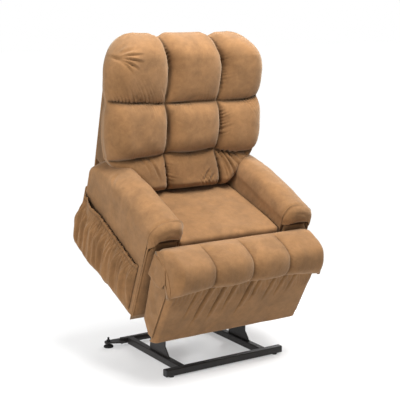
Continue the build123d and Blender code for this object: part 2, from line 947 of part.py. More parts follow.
def footrest_link_bracket(side):
    board_back = cover_t + board_t
    with BuildPart() as piece:
        with BuildSketch(Plane.YZ.offset(min(side * foot_bracket_near, side * (foot_bracket_near + link_t)))):
            with BuildLine():
                Polyline(
                    (front_line(285, board_back), 285),
                    (foot_pivot[0] + 4, foot_pivot[1] - 11),
                    (foot_pivot[0] + 11, foot_pivot[1]),
                    (foot_pivot[0] + 4, shelf_bottom),
                    (front_line(shelf_bottom, board_back), shelf_bottom),
                    close=True,
                )
            make_face()
            with Locations(foot_pivot):
                Circle(tail_pin_r + running, mode=Mode.SUBTRACT)
        extrude(amount=link_t)
    return piece


save_both(footrest_link_bracket, "footrest_brackets", chair_place)

gathered_panel = slab(
    [
        (front_line(panel_bottom), panel_bottom),
        (front_line(panel_bottom, cover_t), panel_bottom),
        (front_line(panel_top, cover_t), panel_top),
        (front_line(panel_top), panel_top),
    ],
    -panel_half,
    panel_half,
)
save(gathered_panel, "footrest_gathered_panel", chair_place)

pad_low = panel_top + 1.5
shelf_top = shelf_bottom + shelf_t + gap
with BuildPart() as footrest_pad:
    with BuildSketch(Plane.YZ.offset(-pad_half)):
        with BuildLine():
            Polyline(
                (-44, pad_low + 6),
                (-70, 372),
                (-78, 412),
                (-70, 452),
                (-46, 480),
                (0, 495),
                (60, 496),
                (110, 486),
                (footrest_back, 462),
                (footrest_back, shelf_top),
                (shelf_front - gap, shelf_top),
                (shelf_front - gap, pad_low + 1),
                close=True,
            )
        make_face()
    extrude(amount=2 * pad_half)
save(footrest_pad, "footrest_pad", chair_place)

flap_low = 88.0
save_both(
    lambda side: slab(
        [
            (front_line(flap_low, cover_t + 2), flap_low + 2),
            (arm_front - 13, flap_low),
            (arm_front - 13, shelf_bottom - 1),
            (front_line(shelf_bottom, cover_t + 2), shelf_bottom - 1),
        ],
        panel_half + 2,
        panel_half + 8,
        side,
    ),
    "footrest_side_flaps",
    chair_place,
)

# =============================================================================================
# Backrest
# =============================================================================================
stile_lean = (848 - 692) / (1040 - 435)
stile_depth = 26.0
stile_half = 11.0
row_seam = 612.0
back_lean = 0.35


def stile_line(z, inwards=0.0):
    return 692 + stile_lean * (z - 435) + inwards


def face_line(z):
    return 628 + back_lean * (z - row_seam)


hinge_near = stile_x + stile_half + 2
hinge_far = hinge_near + 6


def back_hinge_bracket(side):
    """The plate on the end of the seat's rear rail that the backrest turns on."""
    with BuildPart() as piece:
        with BuildSketch(Plane.YZ.offset(min(side * hinge_near, side * hinge_far))):
            with BuildLine():
                Polyline(
                    (rear_rail_y + rail_wood, seat_rail_bottom + 2),
                    (back_pivot[0] + 10, seat_rail_bottom + 2),
                    (back_pivot[0] + 16, back_pivot[1]),
                    (back_pivot[0] - 16, back_pivot[1]),
                    (rear_rail_y + rail_wood, seat_rail_top + 30),
                    close=True,
                )
            make_face()
            with Locations(back_pivot):
                Circle(16)
                Circle(pin_r, mode=Mode.SUBTRACT)
        extrude(amount=hinge_far - hinge_near)
    return piece


save_both(back_hinge_bracket, "back_hinge_brackets", chair_place)
back_pins = cross_rods([back_pivot], pin_r, stile_x - stile_half - 2, hinge_far, head=3)
save_group([front_chair_pins, rear_chair_pins, hanger_pins, back_pins], "chair_pivot_pins", chair_place)


def back_stile(side):
    top = 1040
    with BuildPart() as piece:
        with BuildSketch(Plane.YZ.offset(min(side * (stile_x - stile_half), side * (stile_x + stile_half)))):
            with BuildLine():
                Polyline(
                    (stile_line(428), 428),
                    (stile_line(428, stile_depth), 428),
                    (stile_line(top, stile_depth), top),
                    (stile_line(top), top),
                    close=True,
                )
            make_face()
            with Locations(back_pivot):
                Circle(pin_r + running, mode=Mode.SUBTRACT)
        extrude(amount=2 * stile_half)
    return piece


save_both(back_stile, "back_frame_stiles", chair_place)


def back_rail(z_low, height):
    near = stile_x - stile_half
    return slab(
        [
            (stile_line(z_low, 2), z_low),
            (stile_line(z_low, stile_depth - 2), z_low),
            (stile_line(z_low + height, stile_depth - 2), z_low + height),
            (stile_line(z_low + height, 2), z_low + height),
        ],
        -near,
        near,
    )


save_group([back_rail(470, 60), back_rail(975, 60)], "back_frame_rails", chair_place)

cushion_top = 1100.0
with BuildPart() as back_cushion:
    with BuildSketch(Plane.YZ.offset(-back_half)):
        with BuildLine():
            Polyline(
                (face_line(row_seam) - 4, row_seam + 8),
                (face_line(741) - 22, 741),
                (face_line(871) - 6, 871),
                (face_line(970) - 18, 970),
                (face_line(1060) - 4, 1055),
                (face_line(1075) + 28, 1092),
                (stile_line(1080), cushion_top),
                (stile_line(1060, stile_depth - 4), 1086),
                (stile_line(1050, stile_depth - 4), 1050),
                (stile_line(1050, -gap), 1050),
                (stile_line(row_seam + 8, -gap), row_seam + 8),
                close=True,
            )
        make_face()
    extrude(amount=2 * back_half)
    with BuildSketch(Plane.YZ.offset(-back_low_half)):
        with BuildLine():
            Polyline(
                (592, 462),
                (586, 530),
                (face_line(row_seam) - 4, row_seam + 8),
                (stile_line(row_seam + 8, -gap), row_seam + 8),
                (stile_line(462, -gap) - 6, 462),
                close=True,
            )
        make_face()
    extrude(amount=2 * back_low_half)
save(back_cushion, "back_cushion", chair_place)

shell_t = 10.0
shell_low = 452.0
side_low = 512.0
shell_high = 1060.0


def shell_line(z):
    """The y of the rear face of the backrest's outer cover at a height."""
    return 817 + (887 - 817) / (1006 - 508) * (z - 508)


back_shell = slab(
    [
        (shell_line(shell_low) - shell_t, shell_low),
        (shell_line(shell_low), shell_low),
        (shell_line(shell_high), shell_high),
        (shell_line(shell_high) - shell_t, shell_high),
    ],
    -shell_half,
    shell_half,
)
save(back_shell, "back_outer_panel", chair_place)


def shell_side(side):
    return slab(
        [
            (stile_line(560, 6), 560),
            (shell_line(side_low) - shell_t - gap, side_low),
            (shell_line(shell_high - 20) - shell_t - gap, shell_high - 20),
            (stile_line(shell_high - 20, 0.5), shell_high - 20),
            (stile_line(row_seam + 8, 0.5), row_seam + 8),
        ],
        shell_half - 8,
        shell_half,
        side,
    )


save_both(shell_side, "back_side_panels", chair_place)
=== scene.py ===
import json
import math

import bmesh
import bpy
import numpy as np
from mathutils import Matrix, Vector


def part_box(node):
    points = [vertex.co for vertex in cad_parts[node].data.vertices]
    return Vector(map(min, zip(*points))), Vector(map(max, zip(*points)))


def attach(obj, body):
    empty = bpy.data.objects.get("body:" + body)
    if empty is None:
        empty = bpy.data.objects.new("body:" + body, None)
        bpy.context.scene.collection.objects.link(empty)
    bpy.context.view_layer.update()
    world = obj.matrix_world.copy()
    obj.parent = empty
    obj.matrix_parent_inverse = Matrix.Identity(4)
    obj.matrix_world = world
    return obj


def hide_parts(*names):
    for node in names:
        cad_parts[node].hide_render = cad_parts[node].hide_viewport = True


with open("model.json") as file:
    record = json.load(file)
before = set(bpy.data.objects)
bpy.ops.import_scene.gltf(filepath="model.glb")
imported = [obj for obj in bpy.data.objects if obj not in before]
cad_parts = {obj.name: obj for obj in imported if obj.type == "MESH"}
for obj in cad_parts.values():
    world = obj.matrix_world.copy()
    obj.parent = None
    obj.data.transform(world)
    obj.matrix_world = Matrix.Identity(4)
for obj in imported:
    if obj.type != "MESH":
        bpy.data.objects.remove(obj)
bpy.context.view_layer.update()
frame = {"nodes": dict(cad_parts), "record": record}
nodes = frame["nodes"]

# Everything the lift carries is described in the chair's own seated frame, in millimetres:
# x to the sitter's left, y to the rear, z up. The raised chair is that frame tilted and set here.
TILT = math.radians(23.0)
CHAIR_Y = -0.19706
CHAIR_Z = 0.118
SIDES = ((-1, "right"), (1, "left"))


# ---- Arrays of points ----
def raised(points):
    """Seated chair points in millimetres, as row-frame points in metres."""
    points = np.asarray(points, float) / 1000.0
    turn, lean = math.cos(TILT), math.sin(TILT)
    x, y, z = points[..., 0], points[..., 1], points[..., 2]
    return np.stack([x, y * turn - z * lean + CHAIR_Y, y * lean + z * turn + CHAIR_Z], axis=-1)


def ease(low, high, value):
    """A smooth step from 0 at low to 1 at high."""
    share = np.clip((np.asarray(value, float) - low) / (high - low), 0, 1)
    return share * share * (3 - 2 * share)


def wander(value, spacing, seed):
    """A smooth random line between -1 and 1 that changes over each spacing."""
    lattice = np.random.RandomState(seed).uniform(-1, 1, 4096)
    place = np.asarray(value, float) / spacing + 1500
    whole = np.floor(place).astype(int)
    part = place - whole
    part = part * part * (3 - 2 * part)
    return lattice[whole % 4096] * (1 - part) + lattice[(whole + 1) % 4096] * part


def mottle(u, v, spacing, seed):
    """The same in two directions."""
    lattice = np.random.RandomState(seed).uniform(-1, 1, (256, 256))
    pu, pv = np.asarray(u, float) / spacing + 300, np.asarray(v, float) / spacing + 300
    iu, iv = np.floor(pu).astype(int), np.floor(pv).astype(int)
    fu, fv = pu - iu, pv - iv
    fu, fv = fu * fu * (3 - 2 * fu), fv * fv * (3 - 2 * fv)
    iu, iv, ju, jv = iu % 256, iv % 256, (iu + 1) % 256, (iv + 1) % 256
    low = lattice[iu, iv] * (1 - fu) + lattice[ju, iv] * fu
    high = lattice[iu, jv] * (1 - fu) + lattice[ju, jv] * fu
    return low * (1 - fv) + high * fv


def folds(place, spacing, seed):
    """Rounded ridges with sharp valleys, unevenly spaced, between about -0.6 and 0.4."""
    phase = place / spacing + 0.55 * wander(place, spacing * 2.3, seed)
    return np.abs(np.sin(math.pi * phase)) ** 0.7 - 0.6


def line_through(points, count, closed=False):
    """A smooth line through the points, divided evenly by length."""
    points = np.asarray(points, float)
    if closed:
        ring = np.vstack([points[-1], points, points[0], points[1]])
    else:
        ring = np.vstack([2 * points[0] - points[1], points, 2 * points[-1] - points[-2]])
    share = np.linspace(0, 1, 25)[:-1, None]
    runs = []
    for a, b, c, d in zip(ring[:-3], ring[1:-2], ring[2:-1], ring[3:]):
        bend = (2 * a - 5 * b + 4 * c - d) * share**2
        runs.append(0.5 * (2 * b + (c - a) * share + bend + (3 * b - a - 3 * c + d) * share**3))
    dense = np.vstack([*runs, ring[-2][None]])
    return divided(dense, count, closed)


def divided(points, count, closed=False):
    """The points of an open or already closed line, divided evenly by length."""
    points = np.asarray(points, float)
    steps = np.linalg.norm(np.diff(points, axis=0), axis=1)
    length = np.concatenate([[0], np.cumsum(steps)])
    wanted = np.linspace(0, length[-1], count + 1 if closed else count)
    if closed:
        wanted = wanted[:-1]
    return np.stack([np.interp(wanted, length, points[:, k]) for k in range(points.shape[1])], axis=1)


def inset(ring, amount):
    """A closed ring in a plane, moved inwards."""
    along = np.roll(ring, -1, 0) - np.roll(ring, 1, 0)
    normal = np.stack([along[:, 1], -along[:, 0]], axis=1)
    normal /= np.maximum(np.linalg.norm(normal, axis=1, keepdims=True), 1e-9)
    x, y = ring[:, 0], ring[:, 1]
    turns = np.sum(x * np.roll(y, -1) - np.roll(x, -1) * y)
    amount = np.broadcast_to(np.asarray(amount, float), len(ring))[:, None]
    return ring - normal * amount * (1 if turns > 0 else -1)


def between_points(values, axis, closed):
    """Points halfway between neighbours along one axis, on a smooth line."""
    if closed:
        before, after, next_after = (np.roll(values, k, axis) for k in (1, -1, -2))
        return (9 * (values + after) - before - next_after) / 16
    count = values.shape[axis]
    places = np.arange(count - 1)
    before, here, after, next_after = (
        np.take(values, np.clip(places + k, 0, count - 1), axis) for k in (-1, 0, 1, 2)
    )
    return (9 * (here + after) - before - next_after) / 16


def finer(values):
    """Twice as many rings, and twice as many points round each."""
    halves = between_points(values, 1, True)
    wide = np.stack([values, halves], axis=2).reshape(values.shape[0], -1, *values.shape[2:])
    between = between_points(wide, 0, False)
    made = np.empty((wide.shape[0] * 2 - 1, *wide.shape[1:]))
    made[0::2], made[1::2] = wide, between
    return made


def outward(points):
    """Unit normals of a skin of rings, away from its middle."""
    along = np.gradient(points, axis=0)
    around = np.roll(points, -1, 1) - np.roll(points, 1, 1)
    normal = np.cross(along, around)
    normal /= np.maximum(np.linalg.norm(normal, axis=2, keepdims=True), 1e-9)
    middle = points.mean(axis=1, keepdims=True)
    if np.sum(normal * (points - middle)) < 0:
        normal = -normal
    return normal


# ---- Meshes ----
def make_piece(name, points, faces, material, shade=None):
    mesh = bpy.data.meshes.new(name)
    mesh.from_pydata([tuple(p) for p in points], [], faces)
    if shade is not None:
        layer = mesh.attributes.new("seam_shade", "FLOAT", "POINT")
        layer.data.foreach_set("value", np.asarray(shade, np.float32).ravel())
    clean(mesh)
    mesh.materials.append(material)
    piece = bpy.data.objects.new(name, mesh)
    bpy.context.scene.collection.objects.link(piece)
    return piece


def clean(mesh):
    """Joins points that meet, points every face outwards and shades it smooth."""
    work = bmesh.new()
    work.from_mesh(mesh)
    bmesh.ops.remove_doubles(work, verts=work.verts, dist=2e-6)
    bmesh.ops.dissolve_degenerate(work, edges=work.edges, dist=1e-6)
    bmesh.ops.recalc_face_normals(work, faces=work.faces)
    work.to_mesh(mesh)
    work.free()
    mesh.polygons.foreach_set("use_smooth", [True] * len(mesh.polygons))
    mesh.update()


def ring_faces(rings, around):
    faces = []
    for i in range(rings - 1):
        for j in range(around):
            k = (j + 1) % around
            faces.append((i * around + j, i * around + k, (i + 1) * around + k, (i + 1) * around + j))
    return faces


def skin(name, points, material, shade=None):
    """A closed mesh over rings of points; each end is closed by a point in its middle."""
    rings, around = points.shape[:2]
    flat = list(raised(points.reshape(-1, 3)))
    faces = ring_faces(rings, around)
    shades = None if shade is None else list(np.asarray(shade, float).reshape(-1))
    for ring in (0, rings - 1):
        centre = len(flat)
        flat.append(raised(points[ring].mean(axis=0)))
        if shades is not None:
            shades.append(float(np.mean(shade[ring])))
        for j in range(around):
            faces.append((ring * around + j, ring * around + (j + 1) % around, centre))
    return make_piece(name, flat, faces, material, shades)


def plate(name, front, back, material, shade=None, place=raised):
    """A closed mesh between two grids of points that share their outline."""
    rows, columns = front.shape[:2]
    count = rows * columns
    flat = np.vstack([place(front.reshape(-1, 3)), place(back.reshape(-1, 3))])
    faces = []
    for i in range(rows - 1):
        for j in range(columns - 1):
            a, b = i * columns + j, (i + 1) * columns + j
            faces.append((a, a + 1, b + 1, b))
            faces.append((count + a, count + b, count + b + 1, count + a + 1))
    edge = list(range(columns))
    edge += [i * columns + columns - 1 for i in range(1, rows)]
    edge += [(rows - 1) * columns + j for j in range(columns - 2, -1, -1)]
    edge += [i * columns for i in range(rows - 2, 0, -1)]
    for a, b in zip(edge, edge[1:] + edge[:1]):
        faces.append((a, b, count + b, count + a))
    shades = None if shade is None else np.concatenate([shade.ravel(), shade.ravel()])
    return make_piece(name, flat, faces, material, shades)


def tube(name, path, radius, material, around=10):
    """A closed round bead along a line of seated points."""
    path = np.asarray(path, float)
    along = np.gradient(path, axis=0)
    along /= np.linalg.norm(along, axis=1, keepdims=True)
    side = np.cross(along, np.array([0.31, 0.57, 0.76]))
    side /= np.linalg.norm(side, axis=1, keepdims=True)
    up = np.cross(side, along)
    turn = np.linspace(0, 2 * math.pi, around, endpoint=False)
    ring = np.cos(turn)[None, :, None] * side[:, None] + np.sin(turn)[None, :, None] * up[:, None]
    return skin(name, path[:, None] + radius * ring, material)


SMOOTHING_ROUNDS = 26


def swell(points, held, pressure, cap, steps=18, shrink=0.0, stiffness=14.0):
    """Cloth simulation of a padded cover: its skin is blown out from inside while the held points
    stay, and no point moves further than cap millimetres. The movement is then averaged with its
    neighbours, so that no ripple of the simulation is left. Returns the moved rings."""
    rings, around = points.shape[:2]
    flat = raised(points.reshape(-1, 3))
    mesh = bpy.data.meshes.new("swelling")
    mesh.from_pydata([tuple(p) for p in flat], [], ring_faces(rings, around))
    work = bpy.data.objects.new("swelling", mesh)
    bpy.context.scene.collection.objects.link(work)
    group = work.vertex_groups.new(name="held")
    weights = np.clip(held.reshape(-1), 0, 1)
    for level in np.unique(np.round(weights, 2)):
        if level > 0:
            group.add(np.nonzero(np.round(weights, 2) == level)[0].tolist(), float(level), "REPLACE")
    cloth = work.modifiers.new("cover", "CLOTH")
    settings = cloth.settings
    settings.quality = 5
    settings.mass = 0.25
    settings.tension_stiffness = stiffness
    settings.compression_stiffness = stiffness
    settings.shear_stiffness = 4.0
    settings.bending_stiffness = 0.4
    settings.use_pressure = True
    settings.uniform_pressure_force = pressure
    settings.vertex_group_mass = "held"
    settings.pin_stiffness = 1.0
    settings.shrink_min = -shrink
    settings.effector_weights.gravity = 0
    cloth.collision_settings.use_collision = False
    cloth.collision_settings.use_self_collision = False
    cloth.point_cache.frame_start = 1
    cloth.point_cache.frame_end = steps
    for step in range(1, steps + 1):
        bpy.context.scene.frame_set(step)
    moved = work.evaluated_get(bpy.context.evaluated_depsgraph_get()).data
    found = np.zeros(len(moved.vertices) * 3)
    moved.vertices.foreach_get("co", found)
    found = found.reshape(-1, 3)
    bpy.context.scene.frame_set(1)
    bpy.data.objects.remove(work)
    bpy.data.meshes.remove(mesh)
    shift = (found - flat) * 1000.0
    far = np.linalg.norm(shift, axis=1, keepdims=True)
    shift *= cap * np.tanh(far / cap) / np.maximum(far, 1e-9)
    lean = np.array([[1, 0, 0], [0, math.cos(TILT), math.sin(TILT)], [0, -math.sin(TILT), math.cos(TILT)]])
    shift = (shift @ lean.T).reshape(points.shape)
    for _ in range(SMOOTHING_ROUNDS):
        shift = (shift + np.roll(shift, 1, 1) + np.roll(shift, -1, 1)) / 3
        before = np.concatenate([shift[:1], shift[:-1]])
        after = np.concatenate([shift[1:], shift[-1:]])
        shift = (shift + before + after) / 3
    return points + shift * (1 - np.clip(held, 0, 1))[..., None]


# ---- Materials ----
def shader(name):
    material = bpy.data.materials.new(name)
    material.use_nodes = True
    tree = material.node_tree
    surface = tree.nodes["Principled BSDF"]
    where = tree.nodes.new("ShaderNodeTexCoord")
    return material, tree, surface, where


def give(tree, node, **inputs):
    """Sets a node's inputs, or links them where the value is another node's output. An underscore
    in a name stands for a space."""
    for name, value in inputs.items():
        socket = node.inputs[name.replace("_", " ")]
        if hasattr(value, "node"):
            tree.links.new(value, socket)
        else:
            socket.default_value = value


def noise(tree, where, scale, detail=4.0, roughness=0.55, distortion=0.0):
    node = tree.nodes.new("ShaderNodeTexNoise")
    give(tree, node, Scale=scale, Detail=detail, Roughness=roughness, Distortion=distortion)
    give(tree, node, Vector=where.outputs["Object"])
    return node


def ramp(tree, value, stops):
    node = tree.nodes.new("ShaderNodeValToRGB")
    bar = node.color_ramp
    while len(bar.elements) < len(stops):
        bar.elements.new(0.5)
    for element, (place, colour) in zip(bar.elements, stops):
        element.position = place
        element.color = (*colour, 1)
    tree.links.new(value, node.inputs["Fac"])
    return node


def ranged(tree, value, before=(0.0, 1.0), after=(0.0, 1.0)):
    """The value, moved from one range to another and held inside it."""
    node = tree.nodes.new("ShaderNodeMapRange")
    for name, number in zip(("From Min", "From Max", "To Min", "To Max"), (*before, *after)):
        node.inputs[name].default_value = number
    tree.links.new(value, node.inputs["Value"])
    return node.outputs["Result"]


def mixed(tree, kind, share, first, second):
    node = tree.nodes.new("ShaderNodeMix")
    node.data_type = "RGBA"
    node.blend_type = kind
    wanted = (("Factor", "VALUE", share), ("A", "RGBA", first), ("B", "RGBA", second))
    for socket, socket_type, value in wanted:
        slot = [s for s in node.inputs if s.name == socket and s.type == socket_type][0]
        if hasattr(value, "node"):
            tree.links.new(value, slot)
        else:
            slot.default_value = value if socket == "Factor" else (*value, 1)
    return [s for s in node.outputs if s.type == "RGBA"][0]


def bumped(tree, surface, layers):
    """Bump from several noises: (height socket, strength, distance in metres)."""
    last = None
    for height, strength, distance in layers:
        node = tree.nodes.new("ShaderNodeBump")
        give(tree, node, Strength=strength, Distance=distance, Height=height)
        if last:
            tree.links.new(last, node.inputs["Normal"])
        last = node.outputs["Normal"]
    tree.links.new(last, surface.inputs["Normal"])


def scaled(colour, share):
    return tuple(c * share for c in colour)


def microsuede(name, colour, depth=1.0):
    """Brushed suede cloth: its nap lies in soft light and dark patches, with a fine short pile."""
    material, tree, surface, where = shader(name)
    nap = noise(tree, where, 11.0, 5.0, 0.55, 0.6)
    patches = ramp(
        tree,
        nap.outputs["Fac"],
        [(0.32, scaled(colour, 0.82)), (0.50, colour), (0.70, scaled(colour, 1.12))],
    )
    rub = noise(tree, where, 46.0, 4.0, 0.6, 0.5)
    streak = ramp(tree, rub.outputs["Fac"], [(0.33, (0.86, 0.85, 0.84)), (0.66, (1.06, 1.06, 1.06))])
    pile = noise(tree, where, 1500.0, 2.0, 0.5)
    speck = ramp(tree, pile.outputs["Fac"], [(0.3, (0.86, 0.85, 0.84)), (0.7, (1.10, 1.10, 1.10))])
    base = mixed(tree, "MULTIPLY", 0.9, patches.outputs["Color"], streak.outputs["Color"])
    base = mixed(tree, "MULTIPLY", 0.8, base, speck.outputs["Color"])
    seam = tree.nodes.new("ShaderNodeAttribute")
    seam.attribute_name = "seam_shade"
    base = mixed(tree, "MIX", seam.outputs["Fac"], base, scaled(colour, 0.30))
    rough = ranged(tree, nap.outputs["Fac"], after=(0.82, 0.97))
    give(tree, surface, Base_Color=base, Roughness=rough, Specular_IOR_Level=0.12)
    give(tree, surface, Sheen_Weight=0.22, Sheen_Roughness=0.55, Sheen_Tint=(1.0, 0.84, 0.64, 1))
    soft = noise(tree, where, 42.0, 3.0, 0.5, 0.4)
    bumped(
        tree,
        surface,
        [
            (soft.outputs["Fac"], 0.35 * depth, 0.0022),
            (rub.outputs["Fac"], 0.30 * depth, 0.0008),
            (pile.outputs["Fac"], 0.35, 0.0003),
        ],
    )
    return material


def coated(name, colour, rough=0.45, metallic=0.0, grain=900.0, depth=0.0002, wear=0.0):
    """Paint, plating or moulded plastic: fine surface grain, faint smears, and worn patches."""
    material, tree, surface, where = shader(name)
    smear = noise(tree, where, 14.0, 6.0, 0.6, 0.5)
    tone = ramp(
        tree,
        smear.outputs["Fac"],
        [(0.3, scaled(colour, 0.82)), (0.55, colour), (0.8, scaled(colour, 1.18 + wear))],
    )
    polish = ranged(tree, smear.outputs["Fac"], after=(max(rough - 0.10, 0.04), min(rough + 0.12, 1.0)))
    give(tree, surface, Base_Color=tone.outputs["Color"], Roughness=polish)
    give(tree, surface, Metallic=metallic, Specular_IOR_Level=0.35)
    fine = noise(tree, where, grain, 2.0, 0.5)
    bumped(tree, surface, [(fine.outputs["Fac"], 0.5, depth)])
    return material


def sawn_wood(name, light, dark):
    """Plywood with long grain and the marks of the saw."""
    material, tree, surface, where = shader(name)
    stretch = tree.nodes.new("ShaderNodeMapping")
    give(tree, stretch, Scale=(4.0, 60.0, 60.0), Vector=where.outputs["Object"])
    grain = tree.nodes.new("ShaderNodeTexNoise")
    give(tree, grain, Scale=3.0, Detail=6.0, Distortion=0.6, Vector=stretch.outputs["Vector"])
    tone = ramp(tree, grain.outputs["Fac"], [(0.32, dark), (0.62, light)])
    give(tree, surface, Base_Color=tone.outputs["Color"], Roughness=0.72)
    bumped(tree, surface, [(grain.outputs["Fac"], 0.4, 0.0006)])
    return material


TAN = (0.198, 0.101, 0.041)
cover = microsuede("tan_microsuede_cover", TAN)
cover_plain = microsuede("tan_microsuede_flat", scaled(TAN, 0.95), 0.6)
cover_shaded = microsuede("tan_microsuede_shaded", scaled(TAN, 0.66), 0.8)

finishes = {
    "black_steel": coated("black_powder_coat", (0.014, 0.012, 0.011), 0.42, 0.0, 700.0, 0.00035, 0.25),
    "zinc_steel": coated("zinc_plating", (0.46, 0.45, 0.43), 0.34, 1.0, 400.0, 0.0001),
    "bright_steel": coated("polished_rod", (0.62, 0.62, 0.62), 0.14, 1.0, 300.0, 0.00003),
    "black_plastic": coated("black_moulding", (0.018, 0.018, 0.019), 0.50, 0.0, 1100.0, 0.0003),
    "grey_plastic": coated("grey_moulding", (0.10, 0.10, 0.105), 0.52, 0.0, 1100.0, 0.0003),
    "button_grey": coated("button_moulding", (0.33, 0.34, 0.35), 0.45, 0.0, 900.0, 0.0002),
    "foot_rubber": coated("foot_rubber_black", (0.012, 0.012, 0.012), 0.80, 0.0, 500.0, 0.0004),
    "frame_wood": sawn_wood("frame_plywood", (0.52, 0.36, 0.20), (0.36, 0.23, 0.12)),
    "tan_microsuede": cover_plain,
}
for row in frame["record"]["subparts"]:
    node = nodes[row["node"]]
    node.data.materials.clear()
    node.data.materials.append(finishes[row["material_slot"]])


def finish_soft(piece, body, replaced):
    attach(piece, body)
    if replaced:
        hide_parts(*replaced)
    return piece


# ---- Back cushion: nine stuffed tufts in three columns and three rows ----
BACK_LOW, BACK_HIGH = 460.0, 1146.0
BACK_HALF, BACK_LOW_HALF = 409.0, 262.0
WING_Z, CORNER = 618.0, 168.0
FACE_LEAN = 0.35
FACE_SLOPE = math.hypot(1.0, FACE_LEAN)
RIM_DEPTH = -16.0
SEAM_DEPTH = 12.0
TUFT_RISE = 84.0
SEAM_SHADE_WIDTH = 6.2


def face_line(z):
    """Where the backrest's face stands at each height, in seated y."""
    return 628 + FACE_LEAN * (z - 612)


def frame_line(z):
    """The front of the back frame's stiles."""
    return 692 + 0.25785 * (z - 435)


def shell_line(z):
    """The rear face of the outer back panel."""
    return 817 + 0.14056 * (z - 508)


def face_point(x, z, forward):
    """A point in front of the line of the backrest's face."""
    y = face_line(z) - forward / FACE_SLOPE
    return np.stack([x, y, z + FACE_LEAN * forward / FACE_SLOPE], axis=-1)


def back_half_width(z):
    wing = BACK_LOW_HALF + (BACK_HALF - BACK_LOW_HALF) * np.clip((z - 474) / (WING_Z - 474), 0, 1)
    over = np.clip(z - (BACK_HIGH - CORNER), 0, CORNER)
    corner = CORNER - np.sqrt(np.maximum(CORNER**2 - over**2, 0))
    return wing - corner * 0.98


def seam_bow(z):
    """How far a full tuft pushes its side seam over, at each height."""
    return 9 * np.abs(np.sin(math.pi * (z - 620) / 235)) * ease(610, 640, z)


def left_seam(z):
    return np.interp(z, [470, 620, 860, 1000, 1146], [-98, -120, -122, -122, -138]) + seam_bow(z)


def right_seam(z):
    return np.interp(z, [470, 540, 620, 860, 1000, 1146], [190, 180, 158, 160, 162, 136]) + seam_bow(z)


def low_seam(x):
    keys = [-400, -260, -130, -95, 20, 140, 185, 260, 330, 400]
    return np.interp(x, keys, [612, 620, 626, 634, 628, 636, 622, 610, 612, 622])


def high_seam(x):
    keys = [-400, -320, -250, -130, -100, 25, 150, 190, 300, 400]
    return np.interp(x, keys, [868, 861, 857, 847, 848, 852, 851, 846, 848, 860])


def seam_distance(x, z):
    """How far each point of the face lies from its nearest seam."""
    level = np.minimum(np.abs(z - low_seam(x)), np.abs(z - high_seam(x)))
    return np.minimum(level, np.minimum(np.abs(x - left_seam(z)), np.abs(x - right_seam(z))))


def dome(across, along):
    """The height of a stuffed tuft; both places run from -1 to 1 between its seams."""
    full = np.maximum(1 - np.abs(across) ** 2.7, 0) * np.maximum(1 - np.abs(along) ** 2.7, 0)
    return full**0.46


def edge_round(distance, radius):
    near = np.clip(1 - distance / radius, 0, 1)
    return np.sqrt(np.maximum(1 - near**2, 0))


def tuft_height(x, z):
    half = back_half_width(z)
    low, high = low_seam(x), high_seam(x)
    left, right = left_seam(z), right_seam(z)
    column = np.where(
        x < left,
        1 - 1.45 * (left - x) / (left + half),
        np.where(x > right, 1 - 1.45 * (x - right) / (half - right), 2 * (x - left) / (right - left) - 1),
    )
    row = np.where(
        z < low,
        1 - 1.5 * (low - z) / (low - BACK_LOW),
        np.where(z > high, 1 - 1.35 * (z - high) / (BACK_HIGH - high), 2 * (z - low) / (high - low) - 1),
    )
    return dome(column, row) * np.where(z < low, 0.66, 1.0)


GATHER_STRENGTH = 1.35


def seam_gathers(gap, run, start, stop, depth, reach=30.0, spacing=14.0, slant=0.3, seed=1):
    """Small tucks running away from a seam, on the side where the gap is positive."""
    place = run + slant * gap
    ridge = folds(place, spacing, seed)
    length = reach * (0.75 + 0.45 * wander(run, 22, seed + 5))
    fade = np.exp(-np.maximum(gap, 0) / length) * ease(0, 7, gap)
    window = ease(start - 18, start + 12, run) * (1 - ease(stop - 12, stop + 18, run))
    return GATHER_STRENGTH * depth * ridge * fade * window


def pleat(x, z, start, stop, width, depth):
    """One tapering pleat from start to stop: a valley with a raised lip beside it."""
    ax, az = start
    bx, bz = stop
    length = math.hypot(bx - ax, bz - az)
    dx, dz = (bx - ax) / length, (bz - az) / length
    along = ((x - ax) * dx + (z - az) * dz) / length
    bow = 7.0 * np.sin(math.pi * np.clip(along, 0, 1))
    across = (x - ax) * -dz + (z - az) * dx - bow
    taper = ease(-0.05, 0.12, along) * (1 - ease(0.45, 1.0, along))
    valley = np.exp(-((across / width) ** 2))
    lip = np.exp(-(((across - 2.0 * width) / (1.3 * width)) ** 2))
    return taper * depth * (0.55 * lip - valley)


